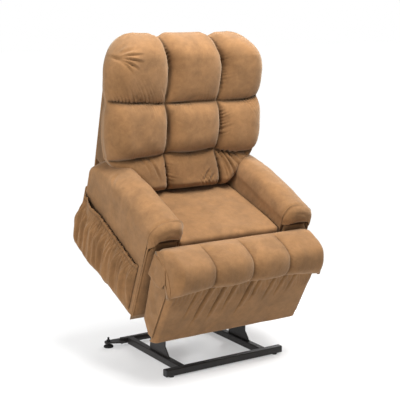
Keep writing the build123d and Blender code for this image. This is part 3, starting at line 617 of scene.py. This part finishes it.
def back_details(x, z):
    left, right, low, high = left_seam(z), right_seam(z), low_seam(x), high_seam(x)
    over, under = z - high, high - z
    middle_row, lower_row = (z < high) * (z > low), z < low
    total = np.zeros_like(x)
    # Distance from the seam, place along it, start, stop, depth, reach, spacing, slant, seed, where.
    for *gathers, share in (
        (over, x, -395, -140, 10.0, 34, 17, 0.75, 3, 1.0),
        (under, x, -330, -150, 4.5, 24, 15, -0.2, 4, 1.0),
        (over, x, 30, 150, 5.0, 28, 15, 0.3, 5, 1.0),
        (under, x, -100, 40, 4.5, 26, 14, 0.3, 6, 1.0),
        (under, x, 262, 392, 8.5, 32, 14, -0.5, 7, 1.0),
        (over, x, 210, 330, 3.0, 20, 14, 0.2, 8, 1.0),
        (z - low, x, -330, -210, 5.0, 22, 13, 0.3, 9, 1.0),
        (z - low, x, 310, 396, 8.0, 28, 12, 0.3, 10, 1.0),
        (low - z, x, -85, 50, 4.5, 24, 14, -0.3, 11, 1.0),
        (low - z, x, -390, -200, 4.0, 26, 15, 0.9, 12, 1.0),
        (x - right, z, 700, 815, 7.5, 24, 16, -0.5, 13, middle_row),
        (x - right, z, 900, 1060, 3.0, 22, 18, -0.3, 19, 1.0),
        (x - left, z, 480, 600, 4.0, 24, 16, 0.3, 14, lower_row),
        (left - x, z, 500, 600, 3.0, 22, 16, 0.3, 15, lower_row),
        (z - BACK_LOW - 6, x, 60, 160, 6.0, 44, 22, 0.9, 16, 1.0),
    ):
        total += seam_gathers(*gathers) * share
    corner_gather = (-394, 1050)
    for end, depth in (
        ((-318, 1112), 5.0),
        ((-286, 1096), 7.0),
        ((-262, 1066), 8.5),
        ((-266, 1030), 9.5),
        ((-286, 994), 8.0),
        ((-318, 974), 4.5),
    ):
        total += pleat(x, z, corner_gather, end, 4.6, depth)
    for start, end, depth in (
        ((172, 632), (232, 484), 11.0),
        ((190, 630), (262, 492), 10.5),
        ((186, 590), (212, 476), 8.0),
        ((214, 626), (296, 520), 7.0),
        ((250, 616), (318, 548), 5.0),
        ((318, 606), (346, 574), 5.5),
        ((350, 608), (372, 590), 5.0),
    ):
        total += pleat(x, z, start, end, 4.6, depth)
    for start, end, depth in (
        ((-210, 620), (-150, 500), 4.4),
        ((-250, 616), (-205, 540), 3.4),
        ((80, 500), (132, 560), 5.4),
        ((116, 486), (150, 530), 4.4),
    ):
        total += pleat(x, z, start, end, 6.0, depth)
    return total + 1.6 * mottle(x, z, 60, 17) + 0.6 * mottle(x, z, 24, 18)


def clustered(count, share):
    """Places from 0 to 1, closer together near both ends."""
    even = np.linspace(0, 1, count)
    return (1 - share) * even + share * (1 - np.cos(math.pi * even)) / 2


def build_back():
    across = 2 * clustered(118, 0.35) - 1
    up = clustered(98, 0.35)
    u, v = np.meshgrid(across, up, indexing="ij")
    z = BACK_LOW + (BACK_HIGH - BACK_LOW) * v
    half = back_half_width(z)
    pull = 13 * np.exp(-(((z - 860) / 34) ** 2)) + 8 * np.exp(-(((z - 622) / 24) ** 2))
    pull = pull - 9 * ease(640, 720, z)
    x = u * (half - pull * np.abs(u) ** 6)
    dips = np.exp(-(((x - left_seam(z)) / 26) ** 2)) + np.exp(-(((x - right_seam(z)) / 26) ** 2))
    z_shown = z - 20 * dips * ease(0.80, 1.0, v)
    side = edge_round((1 - np.abs(u)) * half, 92.0)
    ends = edge_round(z - BACK_LOW, 40.0) * edge_round(BACK_HIGH - z, 104.0)
    round_off = side * ends
    rim = RIM_DEPTH - 42 * ease(960, BACK_HIGH, z)
    front = rim + (SEAM_DEPTH - rim + TUFT_RISE * tuft_height(x, z)) * round_off
    thick = np.maximum((frame_line(z) - face_line(z)) / FACE_SLOPE - 3 + rim, 16)
    behind_round = edge_round((1 - np.abs(u)) * half, 62.0) * edge_round(z - BACK_LOW, 30.0)
    rear = rim - thick * behind_round * edge_round(BACK_HIGH - z, 60.0)
    ahead = face_point(x, z_shown, front)
    behind = face_point(x, z_shown, rear)
    rings = np.concatenate([ahead, behind[:, -2:0:-1]], axis=1)
    sewn = np.clip(1.3 - seam_distance(x, z) / 9.0, 0, 1)
    held = np.concatenate([sewn, np.ones_like(behind[:, -2:0:-1, 0])], axis=1)
    held[:2] = held[-2:] = 1
    rings = swell(rings, held, 3.0, 8.0, 16, 0.0)
    spot_x = np.concatenate([x, x[:, -2:0:-1]], axis=1)
    spot_z = np.concatenate([z, z[:, -2:0:-1]], axis=1)
    front_share = np.concatenate([round_off, 0 * behind[:, -2:0:-1, 0]], axis=1)
    rings, spot_x, spot_z, front_share = (finer(a) for a in (rings, spot_x, spot_z, front_share))
    rings = rings + outward(rings) * (back_details(spot_x, spot_z) * np.clip(front_share, 0, 1))[..., None]
    near = seam_distance(spot_x, spot_z)
    shade = np.exp(-((near / SEAM_SHADE_WIDTH) ** 2)) * (front_share > 0.2)
    return skin("back_cushion_cover", rings, cover, shade)


finish_soft(build_back(), "backrest", ["back_cushion"])


# ---- Seat cushion ----
def build_seat():
    profile = line_through(
        [
            (146, 352), (141, 400), (140, 455), (146, 479), (170, 486), (300, 481), (450, 468), (585, 453),
            (622, 430), (645, 410), (648, 370), (640, 350), (500, 346), (300, 346), (160, 346),
        ],
        110,
        True,
    )
    across = 2 * clustered(78, 0.45) - 1
    rings = []
    for u in across:
        edge = 266 * (1 - abs(u))
        rounding = 16 * (1 - edge_round(edge, 16))
        ring = inset(profile, rounding)
        crown = 9 * (1 - u**2) * ease(430, 470, ring[:, 1]) * ease(130, 200, ring[:, 0])
        rings.append(np.stack([np.full(len(ring), 266 * u), ring[:, 0], ring[:, 1] + crown], axis=1))
    rings = np.array(rings)
    held = np.where(rings[..., 2] < 430, 1.0, 0.0)
    held[:3] = held[-3:] = 1
    rings = swell(rings, held, 2.5, 8.0, 14, 0.004)
    rings = finer(rings)
    x, y = rings[..., 0], rings[..., 1]
    top = ease(430, 460, rings[..., 2])
    ripple = 1.8 * mottle(x, y, 90, 21) + 0.9 * mottle(x, y, 34, 22)
    ripple += seam_gathers(585 - y, x, -150, 200, 2.0, 34, 24, 0.4, 23)
    rings = rings + outward(rings) * (ripple * top)[..., None]
    return skin("seat_cushion_cover", rings, cover)


finish_soft(build_seat(), "chair", ["seat_cushion"])


# ---- Arms: one cover each, flat outside, rolled over the top and down the inner side ----
ROLL_HALF, BODY_HALF = (84, 66), (84, 240)
ARM_BOTTOM, CAP_BOTTOM = 114.0, 496.0
ARM_TOP_Y = [124, 133, 160, 300, 450, 590, 690, 730]
ARM_TOP_Z = [586, 592, 600, 608, 610, 601, 585, 563]


def arm_section(y, floor, arched=0.0):
    """The arm's outline at one place: (distance from the middle, height), inner side first."""
    top = np.interp(y, ARM_TOP_Y, ARM_TOP_Z)
    rear = float(ease(330, 690, y))
    crest = 342 - 34 * rear
    shoulder = 404 + 12 * rear
    drop = 22 + 12 * rear
    inner = 271.0
    points = [
        (inner, floor),
        (inner, floor + (500 - floor) * 0.5),
        (inner - 1, 500),
        (inner - 3, 540),
        (inner + 8, top - 24),
        (inner + 28, top - 6),
        (crest, top),
        (crest + 0.5 * (shoulder - crest), top - 0.32 * drop),
        (shoulder, top - drop),
        (425 + 3 * rear, top - drop - 24 + 10 * rear),
        (431, top - drop - 58 + 22 * rear),
        (430, 470),
        (430, floor + (470 - floor) * 0.5),
        (430, floor),
    ]
    upper = line_through(points, 118)
    across = np.linspace(430, inner, 30)[1:-1]
    arch = arched * np.sin(math.pi * (430 - across) / (430 - inner)) ** 0.8
    return np.vstack([upper, np.stack([across, floor + arch], axis=1)])


def drawn_in(ring, shrink, middle, half):
    """A closed ring drawn in towards its middle, by shrink millimetres at its edge."""
    return middle + (ring - middle) * (1 - shrink / np.asarray(half, float))


def eased_corners(ring, rounds):
    for _ in range(rounds):
        ring = 0.5 * ring + 0.25 * (np.roll(ring, 1, 0) + np.roll(ring, -1, 0))
    return ring


def build_arm(side, label):
    roll, front_y = 40.0, 112.0
    roll_middle, body_middle = np.array([351.0, 552.0]), np.array([351.0, 350.0])
    roll_ring = eased_corners(arm_section(150, CAP_BOTTOM, 13.0), 10)
    points = []

    def add(ring, y):
        points.append(np.stack([ring[:, 0], np.full(len(ring), y), ring[:, 1]], axis=1))

    for share, forward in ((0.02, 3.0), (0.3, 2.6), (0.6, 1.2)):
        nose = drawn_in(roll_ring, roll * 0.96, roll_middle, ROLL_HALF)
        add(roll_middle + (nose - roll_middle) * share, front_y - forward)
    for turn in np.linspace(0.06, 1, 12) * math.pi / 2:
        y = front_y + roll * (1 - math.cos(turn))
        if y < 143.5:
            add(drawn_in(roll_ring, roll * (1 - math.sin(turn)), roll_middle, ROLL_HALF), y)
    edge = roll * (1 - math.sqrt(1 - (1 - (143.6 - front_y) / roll) ** 2))
    add(drawn_in(roll_ring, edge, roll_middle, ROLL_HALF), 143.6)
    add(drawn_in(arm_section(144.2, ARM_BOTTOM), edge, body_middle, BODY_HALF), 144.2)
    for y in 144.2 + (729 - 144.2) * clustered(92, 0.25)[1:]:
        front_edge = edge * (1 - float(ease(144, 166, y)))
        rear = max(y - 713, 0)
        rear_edge = 16 - math.sqrt(max(256 - rear**2, 0))
        add(drawn_in(arm_section(y, ARM_BOTTOM), front_edge + rear_edge, body_middle, BODY_HALF), y)
    points = np.array(points)
    held = np.where(points[..., 2] < 520, 1.0, 0.0)
    held = np.maximum(held, np.where(points[..., 0] > 427, 1.0, 0.0))
    held = np.maximum(held, (points[..., 1] < 146) * 0.85)
    held = np.maximum(held, (points[..., 1] > 722) * 1.0)
    points = swell(points, held, 2.5, 7.0, 14, 0.003)
    points = finer(points)
    x, y, z = points[..., 0], points[..., 1], points[..., 2]
    around = np.cumsum(np.linalg.norm(np.diff(points, axis=1, prepend=points[:, :1]), axis=2), axis=1)
    ripple = 1.5 * mottle(around, y, 70, 31 + side) + 0.7 * mottle(around, y, 28, 33 + side)
    cap = 1 - ease(122, 172, y)
    ripple = ripple + 1.6 * cap * folds(around, 34, 35) * (1 - ease(520, 560, z))
    seat_rub = seam_gathers(z - 470, y, 160, 330, 2.0, 40, 26, 0.5, 36) * (x < 290)
    crook = pleat(y, z, (560, 596), (470, 560), 6, 3.0) * (x > 380)
    crook = crook + seam_gathers(716 - y, z, 470, 560, 2.4, 40, 24, 0.4, 37) * (x > 300)
    soft = (z > 380) * ease(380, 440, z)
    points = points + outward(points) * ((ripple + seat_rub + crook) * soft)[..., None]
    points[..., 0] *= side
    under = (np.abs(y - 143.9) < 1.2) & (z > 440)
    piece = skin(f"arm_cover_{label}", points, cover, 0.6 * under)
    return finish_soft(piece, "chair", [f"arm_body_{label}", f"arm_pad_{label}"])


for side, label in SIDES:
    build_arm(side, label)


# ---- Arm front panels, with a welt down the outer edge ----
def outline_plate(name, outline, along, thick, crown, material, rows=60, columns=16, ripple=None):
    """A padded panel between two edges: outline(v) gives its near and far edge points, along the
    panel's outward direction; crown is how far its middle stands out."""
    v = np.linspace(0, 1, rows)
    u = clustered(columns, 0.5)
    near, far = outline(v)
    grid = near[:, None] * (1 - u)[None, :, None] + far[:, None] * u[None, :, None]
    pillow = edge_round(u, 0.3)[None, :] * edge_round(1 - u, 0.3)[None, :]
    pillow = pillow * (edge_round(v, 0.12) * edge_round(1 - v, 0.12))[:, None]
    lift = thick / 2 + crown * pillow
    if ripple is not None:
        lift = lift + ripple(grid) * pillow
    along = np.asarray(along, float)
    return plate(name, grid + along * lift[..., None], grid - along * (thick / 2), material)


def build_front_panels():
    for side, label in SIDES:

        def outline(v):
            z = 116 + (494 - 116) * v
            inner = np.full_like(z, 276.0) + 10 * ease(430, 494, z)
            outer = 424 - 26 * ease(452, 494, z)
            y = np.full_like(z, 138.0)
            return np.stack([inner * side, y, z], 1), np.stack([outer * side, y, z], 1)

        piece = outline_plate(
            f"arm_front_panel_{label}", outline, (0, -1, 0), 6.0, 6.0, cover,
            ripple=lambda g: 1.2 * mottle(g[..., 0], g[..., 2], 46, 41),
        )
        finish_soft(piece, "chair", ["arm_front_panels"])
        z = np.linspace(118, 494, 90)
        x = np.full_like(z, 426.5 * side) - side * 9 * ease(470, 494, z)
        path = np.stack([x, np.full_like(z, 137.5), z], 1)
        finish_soft(tube(f"arm_front_welt_{label}", path, 4.2, cover), "chair", [])


build_front_panels()


# ---- Side pouches: gathered cloth hung from an elastic edge ----
POUCH_FRONT, POUCH_BACK = 168, 712
ARM_FACE = 434.0


def build_pouch(side, label):
    length = np.linspace(0, 1, 300)
    fall = np.linspace(0, 1, 64)
    s, t = np.meshgrid(length, fall, indexing="ij")
    y = POUCH_FRONT + (POUCH_BACK - POUCH_FRONT) * s
    top = 366 + (400 - 366) * s
    hem = 126 + 7 * wander(y, 62, 60) + 4 * wander(y, 27, 66)
    z = hem + (top - hem) * t
    ends = edge_round(s, 0.10) * edge_round(1 - s, 0.05)
    low = edge_round(t, 0.30)
    belly = 19 + 14 * ease(0.1, 0.85, s) * (1 - t) ** 0.6
    belly = belly * (1 + 0.22 * wander(y + 30 * t, 75, 65))
    depth = (8 + belly * (1 - ease(0.62, 0.97, t) * 0.86)) * low
    fine = folds(y + 5 * wander(z, 40, 51), 12.0, 52)
    lean = y + (1 - t) * 40 + 12 * wander(z, 90, 53)
    broad = np.sin(2 * math.pi * (lean / 52 + 0.7 * wander(lean, 110, 54)))
    broad = 0.5 * broad + 0.35 * np.abs(broad)
    mid = np.sin(2 * math.pi * (y + (1 - t) * 24 + 18 * t * wander(y, 80, 57)) / 25 + 3 * wander(y, 60, 55))
    mid_reach = 0.45 + 0.30 * wander(y, 40, 59)
    gather = 6.2 * fine * ease(0.55, 0.90, t)
    gather = gather + 17.0 * broad * ease(0.0, 0.25, t) * (1 - ease(0.55, 0.95, t))
    gather = gather + 3.6 * mid * ease(mid_reach - 0.25, mid_reach + 0.1, t) * (1 - ease(0.85, 1.0, t))
    frill = 2.4 * np.sin(y / 2.1 + 2 * wander(y, 15, 56)) * ease(0.93, 0.99, t)
    control = np.exp(-(((y - 610) / 62) ** 2)) * ease(0.25, 0.6, t)
    outer = ARM_FACE + (depth + gather * low + frill) * ends
    outer = np.maximum(outer, ARM_FACE + 25.5 * control + 1.5 * fine * control)
    outer = np.clip(outer, 434.2 - 3.0 * (1 - edge_round(1 - s, 0.02)), 482)
    inner = np.maximum(outer - 2.6, 430.9)
    z = z + 2.0 * np.sin(y / 6.5 + 1.5 * wander(y, 30, 58)) * ease(0.9, 1.0, t)
    front = np.stack([outer * side, y, z], axis=-1)
    back = np.stack([inner * side, y, z], axis=-1)
    shade = 0.45 * np.exp(-(((t - 0.93) / 0.02) ** 2)) + 0.9 * np.clip(-broad, 0, 0.5) * (1 - t)
    shade = np.clip(shade + 0.8 * np.clip(-fine - 0.2, 0, 0.5) * ease(0.5, 0.8, t), 0, 0.75)
    piece = plate(f"side_pouch_cloth_{label}", front, back, cover, shade)
    finish_soft(piece, "chair", [f"side_pouch_{label}"])


for side, label in SIDES:
    build_pouch(side, label)


# ---- Footrest: channelled pad, gathered front panel and side flaps ----
PAD_PROFILE = [
    (-40, 335), (-58, 350), (-70, 374), (-77, 410), (-71, 450), (-50, 479), (-4, 494), (56, 497),
    (104, 488), (121, 468), (124, 430), (124, 392), (112, 386), (40, 385), (-14, 384), (-24, 372),
    (-27, 345), (-32, 334),
]
PAD_END_PROFILE = [
    (-44, 335), (-55, 345), (-54, 362), (-46, 385), (-30, 408), (-8, 430), (22, 448), (62, 464),
    (102, 477), (118, 470), (122, 440), (122, 396), (112, 387), (40, 386), (-14, 385), (-24, 373),
    (-27, 346), (-36, 335),
]
PAD_HALF = 399
CHANNELS = (-400.0, -195.0, 0.0, 195.0, 400.0)


def channel_rise(x):
    """How full the pad stands at x, between its sewn channels."""
    edges = np.array(CHANNELS)
    cell = int(np.clip(np.searchsorted(edges, x, side="right") - 1, 0, len(edges) - 2))
    share = (x - edges[cell]) / (edges[cell + 1] - edges[cell])
    if cell == 0:
        place = 1 - 1.4 * (1 - share)
    elif cell == len(edges) - 2:
        place = 1 - 1.4 * share
    else:
        place = 2 * share - 1
    return max(1 - abs(place) ** 2.2, 0) ** 0.7


def build_pad():
    profile = line_through(PAD_PROFILE, 120, True)
    end_profile = line_through(PAD_END_PROFILE, 120, True)
    across = 2 * clustered(150, 0.3) - 1
    rings, soft = [], []
    for u in across:
        x = PAD_HALF * u
        end = 1 - float(edge_round(PAD_HALF * (1 - abs(u)), 44))
        front = (1 - ease(40, 124, profile[:, 0])) * ease(326, 380, profile[:, 1])
        rise = channel_rise(x)
        ring = inset(profile, (9 - 23 * rise) * front * (1 - end))
        ring = ring * (1 - end) + end_profile * end
        lip = (1 - ease(338, 420, ring[:, 1])) * (1 - ease(-28, 10, ring[:, 0]))
        ring = ring + np.stack([0 * lip, 22 * lip * (1 - abs(u) ** 4)], axis=1)
        rings.append(np.stack([np.full(len(ring), x), ring[:, 0], ring[:, 1]], axis=1))
        soft.append(front)
    rings, soft = np.array(rings), np.array(soft)
    near = np.min([np.abs(rings[..., 0] - c) for c in CHANNELS[1:-1]], axis=0)
    held = np.maximum(np.clip(1.3 - near / 8.0, 0, 1), 1 - ease(0.0, 0.3, soft))
    held[:3] = held[-3:] = 1
    rings = swell(rings, held, 2.5, 7.0, 14, 0.002)
    rings, soft = finer(rings), finer(soft)
    x = rings[..., 0]
    around = np.cumsum(np.linalg.norm(np.diff(rings, axis=1, prepend=rings[:, :1]), axis=2), axis=1)
    ripple = 1.4 * mottle(x, around, 60, 61) + 0.7 * mottle(x, around, 26, 62)
    for place, seed in ((-195, 63), (0, 64), (195, 65)):
        for way in (-1, 1):
            gap = way * (x - place)
            ripple = ripple + seam_gathers(gap, around, 20, 430, 1.5, 22, 19, 0.3, seed + way + 3)
    top = seam_gathers(rings[..., 2] - 400, x, -380, 380, 0.8, 60, 17, 0.0, 68)
    near = np.min([np.abs(x - c) for c in CHANNELS[1:-1]], axis=0)
    ripple = ripple + top - 2.0 * np.exp(-((near / 2.6) ** 2))
    rings = rings + outward(rings) * (ripple * soft)[..., None]
    shade = 0.6 * np.exp(-((near / 3.4) ** 2)) * soft
    for side, label in SIDES:
        path = line_through([(PAD_HALF * side, *p) for p in PAD_END_PROFILE[:9]], 120)
        finish_soft(tube(f"footrest_pad_welt_{label}", path, 2.6, cover), "footrest", [])
    return skin("footrest_pad_cover", rings, cover, shade)


finish_soft(build_pad(), "footrest", ["footrest_pad"])


FRONT_HALF = 388
CLOTH_THICK = 2.8


def build_front_cloth():
    """The gathered panel under the pad, wrapped round both corners of the footrest."""
    across = 2 * clustered(320, 0.25) - 1
    fall = clustered(90, 0.2)
    u, t = np.meshgrid(across, fall, indexing="ij")
    x = FRONT_HALF * u
    z = 58 + (332 + 29 * (1 - u**4) - 58) * t
    y = -0.1218 * (z - 57)
    corner = edge_round(FRONT_HALF * (1 - np.abs(u)), 26.0)
    foot = edge_round(t * 272, 14.0)
    slant = x + 62 * t * np.sign(0.4 + u) + 10 * wander(z, 60, 71)
    tuck = np.zeros_like(x)
    for place, strength, reach in (
        (-250, 0.5, 0.7),
        (-190, 1.0, 0.85),
        (-118, 0.9, 0.8),
        (-58, 0.8, 0.6),
        (30, 0.9, 0.75),
        (70, 0.6, 0.5),
        (148, 0.6, 0.55),
        (205, 0.5, 0.5),
        (262, 0.4, 0.45),
    ):
        gap = x - place - 58 * (t - 1)
        shape = np.exp(-((gap / 4.6) ** 2)) - 0.7 * np.exp(-(((gap - 13) / 10.0) ** 2))
        tuck = tuck - strength * shape * ease(1.02 - reach, 1.05 - 0.4 * reach, t)
    small = folds(slant, 21.0, 72) * ease(0.62, 0.97, t)
    bulk = 7.0 * (1 - t) * t * 4 * (1 - u**4) * 0.6
    lift = 6 * corner * foot + bulk + 8.5 * tuck + 3.2 * small + 2.2 * mottle(x, z, 64, 73)
    lift = np.clip(lift, 0.6, 17) * (0.25 + 0.75 * corner * foot)
    wrap = 20 * (1 - corner) + 8 * (1 - foot)
    front = np.stack([x, y - lift + wrap, z], axis=-1)
    back = np.stack([x * 0.992, y - lift + wrap + CLOTH_THICK, z], axis=-1)
    shade = 0.5 * np.clip(-tuck, 0, 1)
    piece = plate("footrest_front_cloth", front, back, cover, shade)
    finish_soft(piece, "footrest", ["footrest_gathered_panel"])


build_front_cloth()


def build_flaps():
    for side, label in SIDES:

        def outline(v):
            z = 88 + (372 - 88) * v
            front = -4 - 30 * v + 12
            back = np.interp(v, [0, 0.15, 1], [40, 96, 118])
            x = np.full_like(z, 392.0 * side)
            return np.stack([x, front, z], 1), np.stack([x, back, z], 1)

        piece = outline_plate(
            f"footrest_side_cloth_{label}", outline, (side, 0, 0), 2.6, 2.0, cover, rows=90, columns=60,
            ripple=lambda g: 2.2 * mottle(g[..., 1] + g[..., 2] * 0.3, g[..., 2], 34, 81),
        )
        finish_soft(piece, "footrest", ["footrest_side_flaps"])


def build_ears():
    """The short apron that hangs from each end of the pad."""
    for side, label in SIDES:

        def outline(v):
            front = np.interp(v, [0, 0.12, 0.5, 1], [40, 8, -6, 20])
            back = np.interp(v, [0, 1], [126, 120])
            low = np.interp(v, [0, 1], [342, 446])
            high = np.interp(v, [0, 1], [352, 462])
            x = side * (403.5 - 4.5 * v)
            return np.stack([x, front, low], 1), np.stack([x, back, high], 1)

        piece = outline_plate(
            f"footrest_pad_apron_{label}", outline, (side, 0, 0), 2.6, 1.6, cover, rows=50, columns=50,
            ripple=lambda g: 2.0 * mottle(g[..., 1], g[..., 2], 30, 85),
        )
        finish_soft(piece, "footrest", [])


build_flaps()
build_ears()


# ---- Back shell: outer panel, side panels and the lower back panel ----
def build_shell():
    def outline(v):
        z = 452 + (1052 - 452) * v
        y = shell_line(z) - 5
        half = 356 - 96 * (1 - edge_round((1 - v) * 600, 96.0))
        return np.stack([-half, y, z], 1), np.stack([half, y, z], 1)

    piece = outline_plate(
        "back_shell_cover", outline, (0, 0.99, -0.139), 9.0, 9.0, cover, rows=150, columns=170,
        ripple=lambda g: (
            2.0 * mottle(g[..., 0], g[..., 2], 110, 91) + 0.8 * mottle(g[..., 0], g[..., 2], 36, 92)
        ),
    )
    finish_soft(piece, "backrest", ["back_outer_panel"])
    for side, label in SIDES:

        def side_outline(v):
            z = 520 + (990 - 520) * v
            front = frame_line(z) + 3
            back = shell_line(z) - 12
            x = np.full_like(z, 352.5 * side)
            return np.stack([x, front, z], 1), np.stack([x, back, z], 1)

        piece = outline_plate(
            f"back_side_cloth_{label}", side_outline, (side, 0, 0), 6.0, 3.5, cover_shaded,
            rows=120, columns=24,
            ripple=lambda g: 0.9 * mottle(g[..., 1], g[..., 2], 50, 93),
        )
        finish_soft(piece, "backrest", ["back_side_panels"])


build_shell()


def square_ring(low, high, turn, corner):
    """Points round a rectangle with rounded corners, one for each turn about its middle."""
    middle = (np.array(low) + np.array(high)) / 2
    half = (np.array(high) - np.array(low)) / 2
    across, along = np.cos(turn), np.sin(turn)
    shape = (np.abs(across / half[0]) ** corner + np.abs(along / half[1]) ** corner) ** (-1 / corner)
    return middle + np.stack([across * shape, along * shape], axis=1)


def build_lower_back():
    """The padded panel across the back of the seat box, with a hole for the mains inlet."""
    inlet_low, inlet_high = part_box("mains_inlet")
    inlet_x = (inlet_low.x + inlet_high.x) * 500
    turn = np.linspace(0, 2 * math.pi, 320, endpoint=False)
    hole = square_ring((inlet_x - 25, 190), (inlet_x + 25, 220), turn, 14.0)
    edge = square_ring((-427, 116), (427, 424), turn, 30.0)
    share = clustered(70, 0.5)
    spread = hole[:, None] * (1 - share)[None, :, None] + edge[:, None] * share[None, :, None]
    x, z = spread[..., 0], spread[..., 1]
    gap_out = np.minimum(427 - np.abs(x), np.minimum(z - 116, 424 - z))
    pillow = edge_round(np.maximum(gap_out, 0), 24.0) * edge_round(share * 60, 9.0)[None, :]
    rear = 736.0 + 7.0 * pillow + (1.8 * mottle(x, z, 110, 95) + 0.8 * mottle(x, z, 34, 96)) * pillow
    outside = np.stack([x, rear, z], axis=-1)
    inside = np.stack([x, np.full_like(x, 731.0), z], axis=-1)
    loop = np.concatenate([outside, inside[:, ::-1]], axis=1)
    rings, around = loop.shape[:2]
    faces = ring_faces(rings, around)
    last = (rings - 1) * around
    for j in range(around):
        k = (j + 1) % around
        faces.append((last + j, last + k, k, j))
    piece = make_piece("lower_back_cover", raised(loop.reshape(-1, 3)), faces, cover)
    finish_soft(piece, "chair", ["lower_back_panel"])


build_lower_back()


# ---- Camera, lights and floor ----
FLOOR_REACH = 30.0
CAMERA_PLACE = (-2.5181, -3.9237, 1.6121)
CAMERA_AIM = (0.0555, 0.0883, 0.7141)
CAMERA_LENS, CAMERA_SENSOR = 92.8, 36.0


def build_studio():
    """Pale floor whose glow fades into a white horizon, soft lights, and the camera."""
    scene = bpy.context.scene
    floor_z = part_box("levelling_feet")[0].z
    mesh = bpy.data.meshes.new("floor")
    corners = [(-1, -1), (1, -1), (1, 1), (-1, 1)]
    points = [(x * FLOOR_REACH, y * FLOOR_REACH, floor_z) for x, y in corners]
    mesh.from_pydata(points, [], [(0, 1, 2, 3)])
    floor = bpy.data.objects.new("floor", mesh)
    scene.collection.objects.link(floor)
    material, tree, surface, where = shader("pale_floor")
    spread = tree.nodes.new("ShaderNodeVectorMath")
    spread.operation = "LENGTH"
    tree.links.new(where.outputs["Object"], spread.inputs[0])
    tone = ranged(tree, spread.outputs["Value"], before=(0.3, 1.9))
    paint = ramp(tree, tone, [(0.0, (0.62, 0.62, 0.62)), (1.0, (0.02, 0.02, 0.02))])
    glow = ranged(tree, tone, after=(0.34, 1.0))
    give(tree, surface, Base_Color=paint.outputs["Color"], Roughness=0.9, Specular_IOR_Level=0.1)
    give(tree, surface, Emission_Color=(1, 1, 1, 1), Emission_Strength=glow)
    mesh.materials.append(material)

    world = bpy.data.worlds.new("studio")
    scene.world = world
    world.use_nodes = True
    sky, light = world.node_tree, world.node_tree.nodes["Background"]
    where = sky.nodes.new("ShaderNodeTexCoord")
    height = sky.nodes.new("ShaderNodeSeparateXYZ")
    sky.links.new(where.outputs["Generated"], height.inputs[0])
    overhead = ranged(sky, height.outputs["Z"], before=(0.06, 0.22), after=(1.0, 0.30))
    front = ranged(sky, height.outputs["Y"], before=(-0.9, 0.0), after=(0.45, 1.0))
    strength = sky.nodes.new("ShaderNodeMath")
    strength.operation = "MULTIPLY"
    sky.links.new(overhead, strength.inputs[0])
    sky.links.new(front, strength.inputs[1])
    give(sky, light, Color=(1, 1, 1, 1), Strength=strength.outputs["Value"])

    def area(name, place, target, size, power):
        light = bpy.data.lights.new(name, "AREA")
        light.shape = "RECTANGLE"
        light.size, light.size_y = size
        light.energy = power
        lamp = bpy.data.objects.new(name, light)
        scene.collection.objects.link(lamp)
        lamp.location = place
        lamp.rotation_mode = "QUATERNION"
        lamp.rotation_quaternion = (Vector(target) - Vector(place)).to_track_quat("-Z", "Y")

    area("overhead_soft", (0.3, -0.9, 3.2), (0, 0, 0.6), (1.7, 1.7), 178)
    area("front_left_soft", (-3.4, -1.0, 1.7), (0, 0, 0.5), (1.6, 1.6), 100)
    area("right_rim_soft", (2.6, 1.6, 2.4), (0, 0, 1.0), (1.2, 2.2), 80)

    camera = bpy.data.objects.new("camera", bpy.data.cameras.new("camera"))
    scene.collection.objects.link(camera)
    camera.data.sensor_width = CAMERA_SENSOR
    camera.data.lens = CAMERA_LENS
    camera.data.clip_end = 100.0
    camera.location = CAMERA_PLACE
    camera.rotation_mode = "QUATERNION"
    aim = Vector(CAMERA_AIM) - camera.location
    camera.rotation_quaternion = aim.to_track_quat("-Z", "Y")
    scene.camera = camera
    scene.view_settings.view_transform = "Standard"


build_studio()
